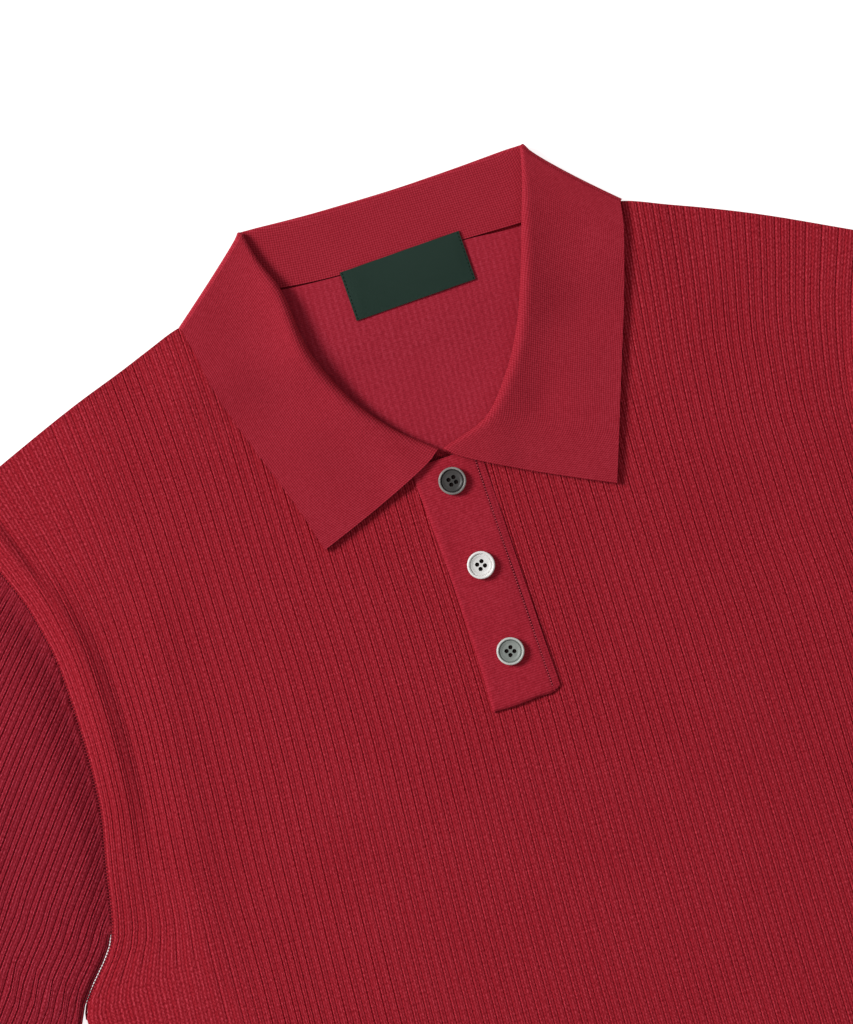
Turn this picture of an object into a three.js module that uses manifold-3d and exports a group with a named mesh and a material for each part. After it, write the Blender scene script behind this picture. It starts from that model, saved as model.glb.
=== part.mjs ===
// A long-sleeved knitted polo-collar sweater, lying flat with its front up.
//
// Millimetres, +Z up. While it is built, X runs across the garment from the middle of its back neck, Y runs from
// the hem to the collar with 0 at the middle button, and Z = 0 is the surface that it lies on. At the end the
// whole is moved so that its box stands centred over the origin. Left and right are as seen from above.

import * as THREE from 'three';
import { mergeVertices } from 'three/addons/utils/BufferGeometryUtils.js';
import Module from 'manifold-3d';

const wasm = await Module();
wasm.setup();

// ---- driving sizes ---------------------------------------------------------------------------------------------

const WALL = 2;                    // thickness of the knitted cloth
const GAP = 0.3;                   // air between two pieces
const LEVEL = WALL + GAP;          // one layer of cloth with its air
const NECK_SEAM_GAP = 0.5;
const HEM_Y = -524;
const EDGE_RIB = 35;               // ribs are numbered 0 at the centre line and 35 at the side edge
const SHOULDER_POINT = { left: { x: 254, y: 104 }, right: { x: 247, y: 92 } };

// How far each rib lies from X = 0 at a height y: the centre rib, then ribs 12, 20 and 28 on each side.
const RIBS = [
  { y: -524, centre: -11, left12: 90, left20: 140, left28: 189, right12: 67, right20: 120, right28: 170 },
  { y: -470, centre: -11, left12: 93.6, left20: 146, left28: 197, right12: 70.8, right20: 126, right28: 178 },
  { y: -300, centre: -9.5, left12: 92.1, left20: 144.6, left28: 195.6, right12: 71.1, right20: 126.1, right28: 178 },
  { y: -190, centre: -7.6, left12: 88.2, left20: 140.4, left28: 191.4, right12: 72.1, right20: 126.1, right28: 177.5 },
  { y: -108, centre: -5.2, left12: 83.6, left20: 136, left28: 187.4, right12: 73, right20: 125.5, right28: 176.8 },
  { y: -64, centre: -4, left12: 81.2, left20: 133.1, left28: 184.2, right12: 73.2, right20: 125.1, right28: 176 },
  { y: -20, centre: -3.9, left12: 80.4, left20: 131.6, left28: 181.5, right12: 72.8, right20: 123.5, right28: 174 },
  { y: 20, centre: -4, left12: 81.1, left20: 131.7, left28: 181.2, right12: 72.7, right20: 123.5, right28: 173.9 },
  { y: 64, centre: -2.7, left12: 80.9, left20: 131.7, left28: 183, right12: 73.7, right20: 126.4, right28: 178.9 },
  { y: 108, centre: -0.3, left12: 79.8, left20: 132.7, left28: 186.5, right12: 76.2, right20: 133.2, right28: 191.3 },
  { y: 170, centre: 2, left12: 78.6, left20: 136, left28: 192.5, right12: 81.4, right20: 142, right28: 211 },
];

// How far the side edge and the armhole lie from X = 0.
const SIDES = [
  { y: -524, left: 252, right: 244 },
  { y: -470, left: 262, right: 254 },
  { y: -300, left: 264, right: 258 },
  { y: -160, left: 262, right: 256 },
  { y: -124, left: 237.9, right: 231 },
  { y: -90, left: 230.8, right: 224.5 },
  { y: -56, left: 224.4, right: 219 },
  { y: -23, left: 223, right: 218 },
  { y: 9, left: 223.8, right: 219 },
  { y: 42, left: 229.5, right: 225.5 },
  { y: 66, left: 238.2, right: 234.5 },
  { y: 104, left: 254, right: 252 },
  { y: 170, left: 280, right: 280 },
];

// Height of the top edge: the back neck seam as far as x = 80, then the shoulder.
const TOPS = [
  { x: 0, left: 158.3, right: 158.3 },
  { x: 32, left: 158.9, right: 157.9 },
  { x: 61, left: 160.6, right: 156.2 },
  { x: 80, left: 164.5, right: 163 },
  { x: 115, left: 152, right: 150.4 },
  { x: 130, left: 150.6, right: 147 },
  { x: 150, left: 145.3, right: 139.2 },
  { x: 178, left: 135.7, right: 126.9 },
  { x: 214, left: 121.2, right: 109 },
  { x: 254, left: 104, right: 88.6 },
];
const NECK_HALF = 80;
const NECK_TOP = 166;              // highest point of the shoulders, beside the neck

// The collar at its rows, from the left front end round the back to the right front end: the neck seam, the roll
// line as its outermost edge, the free edge, and the radius of the roll. turn says where the row lies: 1 on the
// front, -1 on the back. bow pushes the middle of the row's fall sideways, at the two front ends.
const COLLAR_ROWS = [
  { turn: 1, seamX: -9.5, seamY: 58, rollX: -10, rollY: 61.5, edgeX: -79.4, edgeY: 30, radius: 1.8, bow: 1.6 },
  { turn: 1, seamX: -34, seamY: 69, rollX: -28, rollY: 77, edgeX: -85, edgeY: 50, radius: 2.6, bow: 0 },
  { turn: 1, seamX: -60, seamY: 92, rollX: -46.4, rollY: 101, edgeX: -93.5, edgeY: 74.6, radius: 3.6, bow: 0 },
  { turn: 1, seamX: -74.5, seamY: 122, rollX: -58.9, rollY: 132.5, edgeX: -103.2, edgeY: 102, radius: 3.8, bow: 0 },
  { turn: 1, seamX: -79, seamY: 147, rollX: -62, rollY: 159, edgeX: -109.6, edgeY: 123.8, radius: 3.2, bow: 0 },
  { turn: 1, seamX: -80.5, seamY: 158, rollX: -69, rollY: 178, edgeX: -112.6, edgeY: 141, radius: 2, bow: 0 },
  { turn: 0, seamX: -82, seamY: 166.5, rollX: -74.5, rollY: 195, edgeX: -116.8, edgeY: 157.8, radius: 1.15, bow: 0 },
  { turn: -1, seamX: -62, seamY: 161.9, rollX: -58, rollY: 193.8, edgeX: -78, edgeY: 141, radius: 1.15, bow: 0 },
  { turn: -1, seamX: -32, seamY: 159.4, rollX: -30, rollY: 192.8, edgeX: -38, edgeY: 138, radius: 1.15, bow: 0 },
  { turn: -1, seamX: 0, seamY: 158.8, rollX: 0, rollY: 192.6, edgeX: 0, edgeY: 137.5, radius: 1.15, bow: 0 },
  { turn: -1, seamX: 32, seamY: 158.4, rollX: 30, rollY: 193.4, edgeX: 38, edgeY: 138, radius: 1.15, bow: 0 },
  { turn: -1, seamX: 62, seamY: 158, rollX: 58, rollY: 194.8, edgeX: 78, edgeY: 140, radius: 1.15, bow: 0 },
  { turn: 0, seamX: 82, seamY: 166, rollX: 74.4, rollY: 195.8, edgeX: 116.2, edgeY: 155.2, radius: 1.15, bow: 0 },
  { turn: 1, seamX: 80.5, seamY: 158, rollX: 68.6, rollY: 177, edgeX: 109.8, edgeY: 138, radius: 2, bow: 0 },
  { turn: 1, seamX: 79, seamY: 142, rollX: 62, rollY: 157, edgeX: 104.8, edgeY: 121.3, radius: 3, bow: 0 },
  { turn: 1, seamX: 74, seamY: 119, rollX: 54.7, rollY: 134.6, edgeX: 98.8, edgeY: 102.2, radius: 3.4, bow: 0 },
  { turn: 1, seamX: 59, seamY: 90, rollX: 43.8, rollY: 107, edgeX: 90.6, edgeY: 78.7, radius: 3.4, bow: 0 },
  { turn: 1, seamX: 41, seamY: 71, rollX: 31.3, rollY: 86.3, edgeX: 83.9, edgeY: 59.4, radius: 3, bow: 0 },
  { turn: 1, seamX: 20, seamY: 61, rollX: 15, rollY: 69, edgeX: 77.6, edgeY: 41.1, radius: 2.4, bow: 0 },
  { turn: 1, seamX: -5, seamY: 57.8, rollX: -9, rollY: 61, edgeX: 70, edgeY: 19.3, radius: 1.8, bow: 1.8 },
];
const STAND_CLEARANCE = 0.5;       // extra air under the front stand
const FALL_CLEARANCE = 0.6;        // extra air under the front fall
const TURN_STEPS = [45, 0, -45];   // degrees: the stations between the two levels where the collar goes round
const CORE_Z = LEVEL * 2 - 0.15;   // height of the middle of the four layers at the side of the neck
const FALL_LIES_BELOW = 131;       // the back fall lifts all that lies above this height ...
const FALL_LIES_INSIDE = 118;      // ... and inside this half width,
const FALL_RAMP = 28;              // with a slope of this length round it

// Placket, in its own frame: its centre line passes the middle button and leans a little.
const PLACKET = { x: -7, y: 0, lean: 0.0325, top: 57, bottom: -72, half: 18, thick: 1.5 };
const SLIT = { half: 13, bottom: -66 };
const PLACKET_LIFT = 1.8;          // how far the placket lifts the collar ends
const BUTTONS = [
  { name: 'button_top', y: 44.4, turned: 20, colour: '#6f6a66' },
  { name: 'button_middle', y: 0, turned: 0, colour: '#cfc9c4' },
  { name: 'button_bottom', y: -45.4, turned: 0, colour: '#a39d96' },
];
const BUTTON = { radius: 7, thick: 2.6, well: 1.5, rim: 1.9, hole: 0.8, holeCircle: 1.9, sides: 20 };
const LABEL = { x: 0.2, y: 149, width: 63, height: 25.5, thick: 1, turned: 2.4 };

// Sleeves, in a frame of their own: along runs down the sleeve and out runs towards its top fold.
const SLEEVE_ANGLE = 38;           // degrees between the sleeve and the body's centre line
const SLEEVE_END = 668;
const SLEEVE_TOP = [
  { along: 130, out: 274 }, { along: 200, out: 279 }, { along: 300, out: 277 }, { along: 450, out: 267 },
  { along: 600, out: 252 }, { along: 668, out: 252 },
];
const SLEEVE_BOTTOM = [
  { along: 350, out: 112 }, { along: 450, out: 128 }, { along: 600, out: 158 }, { along: 668, out: 160 },
];
const SLEEVE_PUFF = 2.5;           // how far the sleeve's upper layer stands off its lower layer

// The two largest folds run beside the armholes: a ridge of cloth that stands on the seam's own bulk.
const ARMHOLE_FOLDS = {
  left: { height: 5.5, low: -130, high: 112, crest: 9, shoulder: 13, foot: 26 },
  right: { height: 3.6, low: -110, high: 104, crest: 9, shoulder: 15, foot: 30 },
};
// Soft long folds on the front: a ridge from one end to the other.
const FRONT_FOLDS = [
  { x0: -172, y0: 30, x1: -196, y1: -150, width: 13, height: 1.4 },
  { x0: 236, y0: -150, x1: 150, y1: -40, width: 14, height: 1.6 },
  { x0: -236, y0: -190, x1: -150, y1: -330, width: 22, height: 1.8 },
  { x0: 60, y0: -260, x1: 120, y1: -430, width: 26, height: 1.5 },
  { x0: -60, y0: -330, x1: -90, y1: -500, width: 24, height: 1.4 },
];

// Where the panels' columns and rows lie.
const FRONT_RIBS = [0, 4, 8, 10, 12, 16, 20, 24, 27, 29.5, 31, 32.3, 33.6, 35];
const BACK_RIBS = [0, 4, 8, 10, 12, 16, 20, 24, 29.5, 35];
const ARMHOLE_ROWS = [-160, -142, -124, -90, -56, -23, 9, 42, 66, 85];
const LOWER_ROWS = [-524, -470, -385, -300, -215];
const UNDERARM_ROWS = 3;           // as many armhole rows run along the sleeve's underarm fold,
const UNDERARM_CLEARANCE = 1;      // which keeps this much further out

// ---- numbers ---------------------------------------------------------------------------------------------------

const clamp01 = (t) => Math.min(1, Math.max(0, t));
const smooth = (t) => clamp01(t) ** 2 * (3 - 2 * clamp01(t));
const mix = (a, b, t) => a + (b - a) * t;

// The value at a place on a smooth curve through the given knots, which never overshoots them.
function curve(knots, values, at) {
  const last = knots.length - 1;
  const chords = knots.slice(1).map((knot, i) => (values[i + 1] - values[i]) / (knot - knots[i]));
  const slope = (i) => {
    const before = chords[Math.max(0, i - 1)];
    const after = chords[Math.min(last - 1, i)];
    return before * after > 0 ? (2 * before * after) / (before + after) : 0;
  };
  let i = 0;
  while (i < last - 1 && at > knots[i + 1]) i += 1;
  const span = knots[i + 1] - knots[i];
  const t = clamp01((at - knots[i]) / span);
  const rise = slope(i) * span;
  const fall = slope(i + 1) * span;
  const bend = values[i] - values[i + 1];
  return values[i] + t * (rise + t * (-3 * bend - 2 * rise - fall + t * (2 * bend + rise + fall)));
}

const fromTable = (table, key, value, at) => curve(table.map((row) => row[key]), table.map((row) => row[value]), at);

const sideOf = (x) => (x < 0 ? 'left' : 'right');
const signOf = { left: -1, right: 1 };

// ---- the shape of the body -------------------------------------------------------------------------------------

const sideEdge = (side, y) => fromTable(SIDES, 'y', side, y);

// X of a rib at a height; ribs left of the centre have negative numbers.
function ribX(rib, y) {
  const side = sideOf(rib);
  const centre = signOf[side] * fromTable(RIBS, 'y', 'centre', y);
  const inner = [12, 20, 28].map((number) => fromTable(RIBS, 'y', `${side}${number}`, y));
  return signOf[side] * curve([0, 12, 20, 28, EDGE_RIB], [centre, ...inner, sideEdge(side, y)], Math.abs(rib));
}

const topY = (x) => fromTable(TOPS, 'x', sideOf(x), Math.abs(x));

// Where a rib ends at the top: on the shoulder, or at the neck.
function ribEnd(rib) {
  if (Math.abs(rib) === EDGE_RIB) return SHOULDER_POINT[sideOf(rib)].y;
  let y = NECK_TOP;
  for (let pass = 0; pass < 12; pass += 1) y = topY(ribX(rib, y));
  return y;
}

// The lift that the collar's back fall gives to what lies on it.
function liftAt(x, y) {
  const sideways = 1 - smooth((Math.abs(x) - FALL_LIES_INSIDE) / FALL_RAMP);
  return LEVEL * sideways * (1 - smooth((FALL_LIES_BELOW - y) / FALL_RAMP));
}

// The ridge beside an armhole: nothing at the seam, a broad crest, and a steep foot on the body side.
function armholeFold(x, y) {
  const fold = ARMHOLE_FOLDS[sideOf(x)];
  const inside = sideEdge(sideOf(x), y) - Math.abs(x);
  const across = smooth(inside / fold.crest) * (1 - smooth((inside - fold.shoulder) / (fold.foot - fold.shoulder)));
  const along = smooth((y - fold.low) / 90) * smooth((fold.high - y) / 30);
  return fold.height * across * along;
}

function softFold(fold, x, y) {
  const length = Math.hypot(fold.x1 - fold.x0, fold.y1 - fold.y0);
  const alongX = (fold.x1 - fold.x0) / length;
  const alongY = (fold.y1 - fold.y0) / length;
  const along = (x - fold.x0) * alongX + (y - fold.y0) * alongY;
  const across = ((x - fold.x0) * alongY - (y - fold.y0) * alongX) / fold.width;
  const ends = smooth(along / 40 + 0.5) * smooth((length - along) / 40 + 0.5);
  return fold.height * Math.exp(-across * across) * ends;
}

const frontFolds = (x, y) => armholeFold(x, y) + FRONT_FOLDS.reduce((sum, fold) => sum + softFold(fold, x, y), 0);

// ---- solids ----------------------------------------------------------------------------------------------------

// A closed wall between two grids of points with the same rows and columns. A wrapped grid closes its rows on
// themselves.
function wall(outer, inner, wrapped) {
  const rows = outer.length;
  const columns = outer[0].length;
  const vertices = [...outer.flat(), ...inner.flat()];
  const at = (layer, row, column) => layer * rows * columns + row * columns + (column % columns);
  const triangles = [];
  const quad = (a, b, c, d) => triangles.push(a, b, c, a, c, d);
  const steps = wrapped ? columns : columns - 1;
  for (let row = 0; row < rows - 1; row += 1) {
    for (let column = 0; column < steps; column += 1) {
      quad(at(0, row, column), at(0, row, column + 1), at(0, row + 1, column + 1), at(0, row + 1, column));
      quad(at(1, row, column), at(1, row + 1, column), at(1, row + 1, column + 1), at(1, row, column + 1));
    }
  }
  for (let column = 0; column < steps; column += 1) {
    quad(at(0, 0, column), at(1, 0, column), at(1, 0, column + 1), at(0, 0, column + 1));
    quad(at(0, rows - 1, column), at(0, rows - 1, column + 1), at(1, rows - 1, column + 1), at(1, rows - 1, column));
  }
  for (let row = 0; !wrapped && row < rows - 1; row += 1) {
    quad(at(0, row, 0), at(0, row + 1, 0), at(1, row + 1, 0), at(1, row, 0));
    quad(at(0, row, columns - 1), at(1, row, columns - 1), at(1, row + 1, columns - 1), at(0, row + 1, columns - 1));
  }
  return facingOut(vertices, triangles);
}

// Geometry from points and triangles, turned so that its faces point out.
function facingOut(vertices, triangles) {
  let volume = 0;
  for (let i = 0; i < triangles.length; i += 3) {
    const [a, b, c] = triangles.slice(i, i + 3).map((index) => vertices[index]);
    volume += a.dot(new THREE.Vector3().crossVectors(b, c));
  }
  const geometry = new THREE.BufferGeometry();
  geometry.setAttribute('position', new THREE.Float32BufferAttribute(vertices.flatMap((v) => v.toArray()), 3));
  geometry.setIndex(volume < 0 ? triangles.reverse() : triangles);
  return geometry;
}

// The two faces of a cloth whose middle surface is given as a grid of points.
function thicken(middle, wrapped) {
  const rows = middle.length;
  const columns = middle[0].length;
  const pick = (row, column) => {
    const inRange = wrapped ? (column + columns) % columns : Math.min(columns - 1, Math.max(0, column));
    return middle[Math.min(rows - 1, Math.max(0, row))][inRange];
  };
  const normal = (row, column) => {
    const alongRow = new THREE.Vector3().subVectors(pick(row, column + 1), pick(row, column - 1));
    const alongColumn = new THREE.Vector3().subVectors(pick(row + 1, column), pick(row - 1, column));
    return alongRow.cross(alongColumn).normalize();
  };
  const moved = (distance) =>
    middle.map((line, row) => line.map((p, column) => p.clone().addScaledVector(normal(row, column), distance)));
  return wall(moved(WALL / 2), moved(-WALL / 2), wrapped);
}

// Horizontal slab of cloth: the grid's points with a height each, and the same points moved up.
function slab(grid, thick) {
  const upper = grid.map((line) => line.map((p) => p.clone().setZ(p.z + thick)));
  return wall(upper, grid, false);
}

// Prism over a flat outline.
function prism(points, low, high) {
  const shape = new THREE.Shape(points.map((p) => new THREE.Vector2(p[0], p[1])));
  const geometry = new THREE.ExtrudeGeometry(shape, { depth: high - low, bevelEnabled: false, curveSegments: 1 });
  return geometry.translate(0, 0, low);
}

function toSolid(geometry) {
  const bare = geometry.clone();
  bare.deleteAttribute('normal');
  bare.deleteAttribute('uv');
  const merged = mergeVertices(bare, 1e-4);
  return new wasm.Manifold(new wasm.Mesh({
    numProp: 3,
    vertProperties: new Float32Array(merged.attributes.position.array),
    triVerts: new Uint32Array(merged.index.array),
  }));
}

function fromSolid(solid) {
  const mesh = solid.getMesh();
  const geometry = new THREE.BufferGeometry();
  geometry.setAttribute('position', new THREE.BufferAttribute(mesh.vertProperties, 3));
  geometry.setIndex(new THREE.BufferAttribute(mesh.triVerts, 1));
  return geometry;
}

const cut = (geometry, ...tools) => fromSolid(tools.reduce((solid, tool) => solid.subtract(toSolid(tool)), toSolid(geometry)));

// ---- front and back --------------------------------------------------------------------------------------------

// Shares of a rib's length at which the rows lie, taken from heights on the edge rib of a side.
function rowShares() {
  const top = SHOULDER_POINT.left.y;
  return [...LOWER_ROWS, ...ARMHOLE_ROWS, top].map((y) => (y - HEM_Y) / (top - HEM_Y));
}

// A panel's points in plan: a row for each share of the ribs' length, a column for each rib.
function panelGrid(ribs, heightAt) {
  const bothSides = [...ribs.slice(1).reverse().map((rib) => -rib), ...ribs];
  const ends = bothSides.map(ribEnd);
  return rowShares().map((share) => bothSides.map((rib, i) => {
    const y = mix(HEM_Y, ends[i], share);
    const x = ribX(rib, y);
    return new THREE.Vector3(x, y, heightAt(x, y));
  }));
}

const backPanel = () => slab(panelGrid(BACK_RIBS, liftAt), WALL);

const placketPoint = (across, up) => [PLACKET.x + across - PLACKET.lean * up, PLACKET.y + up + PLACKET.lean * across];

// The outline that leaves the front's neckline: just outside the collar's seam, closed above the shoulders.
function neckCut() {
  const middle = COLLAR_ROWS.findIndex((row) => row.turn < 0);
  const onFront = (rows) => rows.filter((row) => row.turn >= 0).reverse().map((row) => {
    const away = new THREE.Vector2(row.seamX - row.rollX, row.seamY - row.rollY).normalize();
    return [row.seamX + away.x * NECK_SEAM_GAP, row.seamY + away.y * NECK_SEAM_GAP];
  });
  const seam = [...onFront(COLLAR_ROWS.slice(0, middle)), ...onFront(COLLAR_ROWS.slice(middle))];
  const above = NECK_TOP + 30;
  return prism([[-NECK_HALF - 1.5, above], ...seam, [NECK_HALF + 1.5, above]], -1, 30);
}

function slitCut() {
  const { half, bottom } = SLIT;
  const corners = [[-half, bottom], [half, bottom], [half, NECK_TOP], [-half, NECK_TOP]];
  return prism(corners.map(([across, up]) => placketPoint(across, up)), -1, 30);
}

function frontPanel() {
  const height = (x, y) => LEVEL + liftAt(x, y) + frontFolds(x, y);
  return cut(slab(panelGrid(FRONT_RIBS, height), WALL), neckCut(), slitCut());
}

// ---- sleeves ---------------------------------------------------------------------------------------------------

const sleeveTurn = THREE.MathUtils.degToRad(SLEEVE_ANGLE);

// Plan point of a sleeve from its own frame, and back.
const fromSleeve = (side, along, out) => ({
  x: signOf[side] * (Math.sin(sleeveTurn) * along + Math.cos(sleeveTurn) * out),
  y: -Math.cos(sleeveTurn) * along + Math.sin(sleeveTurn) * out,
});
const toSleeve = (side, x, y) => ({
  along: Math.sin(sleeveTurn) * signOf[side] * x - Math.cos(sleeveTurn) * y,
  out: Math.cos(sleeveTurn) * signOf[side] * x + Math.sin(sleeveTurn) * y,
});

// The closed ring of a flattened sleeve: upper layer, top fold, lower layer and underarm seam, from the armhole
// to the cuff. Its columns meet the body's rows at the armhole.
function sleeve(side) {
  const shoulder = toSleeve(side, signOf[side] * SHOULDER_POINT[side].x, SHOULDER_POINT[side].y);
  const end = SHOULDER_POINT[side].y;
  const rim = ARMHOLE_ROWS.map((y) => mix(HEM_Y, end, (y - HEM_Y) / (SHOULDER_POINT.left.y - HEM_Y)))
    .map((y) => toSleeve(side, signOf[side] * (sideEdge(side, y) + GAP), y));
  const top = [shoulder, ...SLEEVE_TOP];
  const fold = rim.slice(0, UNDERARM_ROWS).reverse().map(({ along, out }) => ({ along, out: out + UNDERARM_CLEARANCE }));
  const bottom = [...fold, ...SLEEVE_BOTTOM];
  const middleUpper = WALL * 1.5 + GAP;
  const middleLower = WALL / 2;
  const bend = (middleUpper - middleLower) / 2;
  const inset = bend + WALL / 2 + GAP;
  const topOut = (along) => fromTable(top, 'along', 'out', along) - inset;
  const bottomOut = (along) => fromTable(bottom, 'along', 'out', along) + inset;

  const shareAt = ({ along, out }) => (out - bottomOut(along)) / (topOut(along) - bottomOut(along));
  const seam = rim.slice(UNDERARM_ROWS).map((p) => ({ along: p.along, share: shareAt(p) }));
  const columns = [
    { along: rim[UNDERARM_ROWS - 1].along + 3, share: 0 }, ...seam, { along: shoulder.along + 2, share: 1 },
  ];

  const stations = [0, 0.04, 0.1, 0.2, 0.35, 0.5, 0.65, 0.8, 0.9, 1];
  const ring = stations.map((station) => {
    const upper = columns.map(({ along: start, share }) => {
      const along = mix(start, SLEEVE_END, station);
      const puff = SLEEVE_PUFF * smooth(station / 0.06) * smooth((1 - station) / 0.2) * Math.sin(Math.PI * share);
      return { along, out: mix(bottomOut(along), topOut(along), share), z: middleUpper + puff };
    });
    const lower = upper.map((p) => ({ ...p, z: middleLower })).reverse();
    const turnRound = (from, direction) => [60, 0, -60].map((degrees) => {
      const angle = THREE.MathUtils.degToRad(degrees) * direction;
      return {
        along: from.along,
        out: from.out + direction * bend * Math.cos(angle),
        z: (middleUpper + middleLower) / 2 + bend * Math.sin(angle),
      };
    });
    const loop = [...upper, ...turnRound(upper[upper.length - 1], 1), ...lower, ...turnRound(upper[0], -1)];
    return loop.map(({ along, out, z }) => {
      const { x, y } = fromSleeve(side, along, out);
      return new THREE.Vector3(x, y, z);
    });
  });
  return thicken(ring, true);
}

// ---- collar ----------------------------------------------------------------------------------------------------

// The collar ends lie over the placket.
function placketLift(x, y) {
  const sideways = 1 - smooth((Math.abs(x - PLACKET.x) - PLACKET.half - 2) / 18);
  return PLACKET_LIFT * sideways * smooth((y - 15) / 15);
}

// One row of the collar's middle surface, from the neck seam over the roll to the free edge. turn is the angle of
// the direction from stand to fall: 90 degrees on the front, -90 on the back, and 0 where the collar goes round.
function collarSection(row, turnDegrees) {
  const turn = THREE.MathUtils.degToRad(turnDegrees);
  const seam = new THREE.Vector2(row.seamX, row.seamY);
  const roll = new THREE.Vector2(row.rollX, row.rollY);
  const edge = new THREE.Vector2(row.edgeX, row.edgeY);
  const away = roll.clone().multiplyScalar(2).sub(seam).sub(edge).normalize();
  const centre = roll.clone().addScaledVector(away, -(row.radius + WALL / 2));
  const sideways = (a, b) => {
    const line = b.clone().sub(a).normalize();
    const normal = new THREE.Vector2(-line.y, line.x);
    return normal.x * Math.sign(row.seamX || 1) < 0 ? normal.negate() : normal;
  };
  const standRadius = LEVEL / 2;
  const fallRadius = standRadius + LEVEL;
  const onFront = turnDegrees === 90;
  const round = Math.cos(turn);
  // At the shoulder fold the stand and the fall go round a core whose outermost point is the row's outline.
  const outBy = (radius) => round * radius - (row.turn === 0 ? radius + WALL / 2 : 0);
  const standOut = sideways(seam, roll).multiplyScalar(outBy(standRadius));
  const fallOut = sideways(centre, edge).multiplyScalar(outBy(fallRadius));

  const standAt = (p) => (onFront ? LEVEL + WALL / 2 + liftAt(p.x, p.y) + STAND_CLEARANCE
    : CORE_Z + Math.sin(turn) * standRadius);
  const fallAt = (p) => (onFront ? LEVEL * 2 + WALL / 2 + liftAt(p.x, p.y) + FALL_CLEARANCE + placketLift(p.x, p.y)
    : CORE_Z + Math.sin(turn) * fallRadius);

  const points = [];
  const add = (p, z) => points.push(new THREE.Vector3(p.x, p.y, z));
  const rollZ = Math.max(standAt(centre), onFront ? fallAt(centre) - 2 * row.radius : 0);
  for (const t of [0, 0.5, 1]) {
    const p = seam.clone().lerp(centre, t).add(standOut);
    add(p, onFront ? mix(standAt(p), rollZ, t) : standAt(p));
  }
  const standEnd = points[points.length - 1];
  const fallStart = centre.clone().add(fallOut);
  const fallStartZ = onFront ? rollZ + 2 * row.radius : fallAt(centre);
  for (const t of [0.2, 0.5, 0.8]) {
    const bulge = Math.sin(Math.PI * t) * row.radius;
    const share = (1 - Math.cos(Math.PI * t)) / 2;
    const p = new THREE.Vector2(standEnd.x, standEnd.y).lerp(fallStart, share).addScaledVector(away, bulge);
    add(p, mix(standEnd.z, fallStartZ, share));
  }
  const bowOut = sideways(centre, edge).multiplyScalar(row.bow);
  if (bowOut.y > 0) bowOut.negate();
  for (const t of [0, 0.2, 0.45, 0.7, 1]) {
    const p = fallStart.clone().lerp(edge.clone().add(fallOut), t);
    p.addScaledVector(bowOut, 4 * Math.sqrt(t) * (1 - t) * 0.75);
    const settle = onFront ? (1 - clamp01(t / 0.6)) ** 2 : 0;
    add(p, mix(fallAt(p), fallStartZ, settle));
  }
  return points;
}

function collar() {
  const sections = COLLAR_ROWS.flatMap((row) => {
    if (row.turn !== 0) return [collarSection(row, row.turn * 90)];
    const angles = [90, ...TURN_STEPS, -90];
    return (row.seamX < 0 ? angles : angles.reverse()).map((degrees) => collarSection(row, degrees));
  });
  return thicken(sections, false);
}

// ---- placket, buttons and label --------------------------------------------------------------------------------

function strip(half, bottom, top, low, thick) {
  const corners = [[-half, bottom], [half, bottom], [half, top], [-half, top]];
  return prism(corners.map(([across, up]) => placketPoint(across, up)), low, low + thick);
}

const placketUnder = () => strip(SLIT.half - GAP, SLIT.bottom + GAP, PLACKET.top - GAP, LEVEL, WALL);
const placketTop = () => strip(PLACKET.half, PLACKET.bottom, PLACKET.top - GAP, LEVEL * 2, PLACKET.thick);

function button({ y, turned }) {
  const { radius, thick, well, rim, hole, holeCircle, sides } = BUTTON;
  const profile = [
    [0, 0], [radius - 1.2, 0], [radius, 1], [radius, thick - 0.6], [radius - 0.7, thick], [radius - rim, thick - 0.3],
    [radius - rim - 0.9, well], [0, well],
  ].map(([r, z]) => new THREE.Vector2(r, z));
  const disc = new THREE.LatheGeometry(profile, sides).rotateX(Math.PI / 2);
  const drill = (quarter) => {
    const angle = THREE.MathUtils.degToRad(turned + 90 * quarter);
    return new THREE.CylinderGeometry(hole, hole, 3 * thick, 8).rotateX(Math.PI / 2)
      .translate(holeCircle * Math.cos(angle), holeCircle * Math.sin(angle), 0);
  };
  const [x, placed] = placketPoint(0, y);
  return cut(disc, ...[0, 1, 2, 3].map(drill)).translate(x, placed, LEVEL * 2 + PLACKET.thick + GAP);
}

const label = () => new THREE.BoxGeometry(LABEL.width, LABEL.height, LABEL.thick)
  .rotateZ(THREE.MathUtils.degToRad(LABEL.turned))
  .translate(LABEL.x, LABEL.y, LEVEL * 2 + LABEL.thick / 2);

// ---- the garment -----------------------------------------------------------------------------------------------

const material = (color, roughness) => new THREE.MeshStandardMaterial({ color, roughness, metalness: 0 });

function piece(name, geometry, finish) {
  const mesh = new THREE.Mesh(geometry, finish);
  mesh.name = name;
  return mesh;
}

const garment = new THREE.Group();
garment.add(
  piece('back', backPanel(), material('#8a1e29', 0.9)),
  piece('front', frontPanel(), material('#8a1e29', 0.9)),
  piece('sleeve_left', sleeve('left'), material('#831e28', 0.9)),
  piece('sleeve_right', sleeve('right'), material('#831e28', 0.9)),
  piece('collar', collar(), material('#962632', 0.9)),
  piece('placket_under', placketUnder(), material('#982632', 0.9)),
  piece('placket_top', placketTop(), material('#982632', 0.9)),
  ...BUTTONS.map((each) => piece(each.name, button(each), material(each.colour, 0.35))),
  piece('label', label(), material('#24392f', 0.8)),
);

const box = new THREE.Box3().setFromObject(garment);
for (const mesh of garment.children) {
  mesh.geometry.translate(-(box.min.x + box.max.x) / 2, -(box.min.y + box.max.y) / 2, -box.min.z);
}

export default garment;
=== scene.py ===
"""Looks of a long-sleeved rib-knit polo-collar sweater that lies flat with its front up.

Sizes in the tables are millimetres in the pattern's own plan: X runs across from the middle of the back
neck, and Y runs from the hem to the collar with 0 at the middle button. Left and right are as seen from
above.
"""

import math

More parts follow.
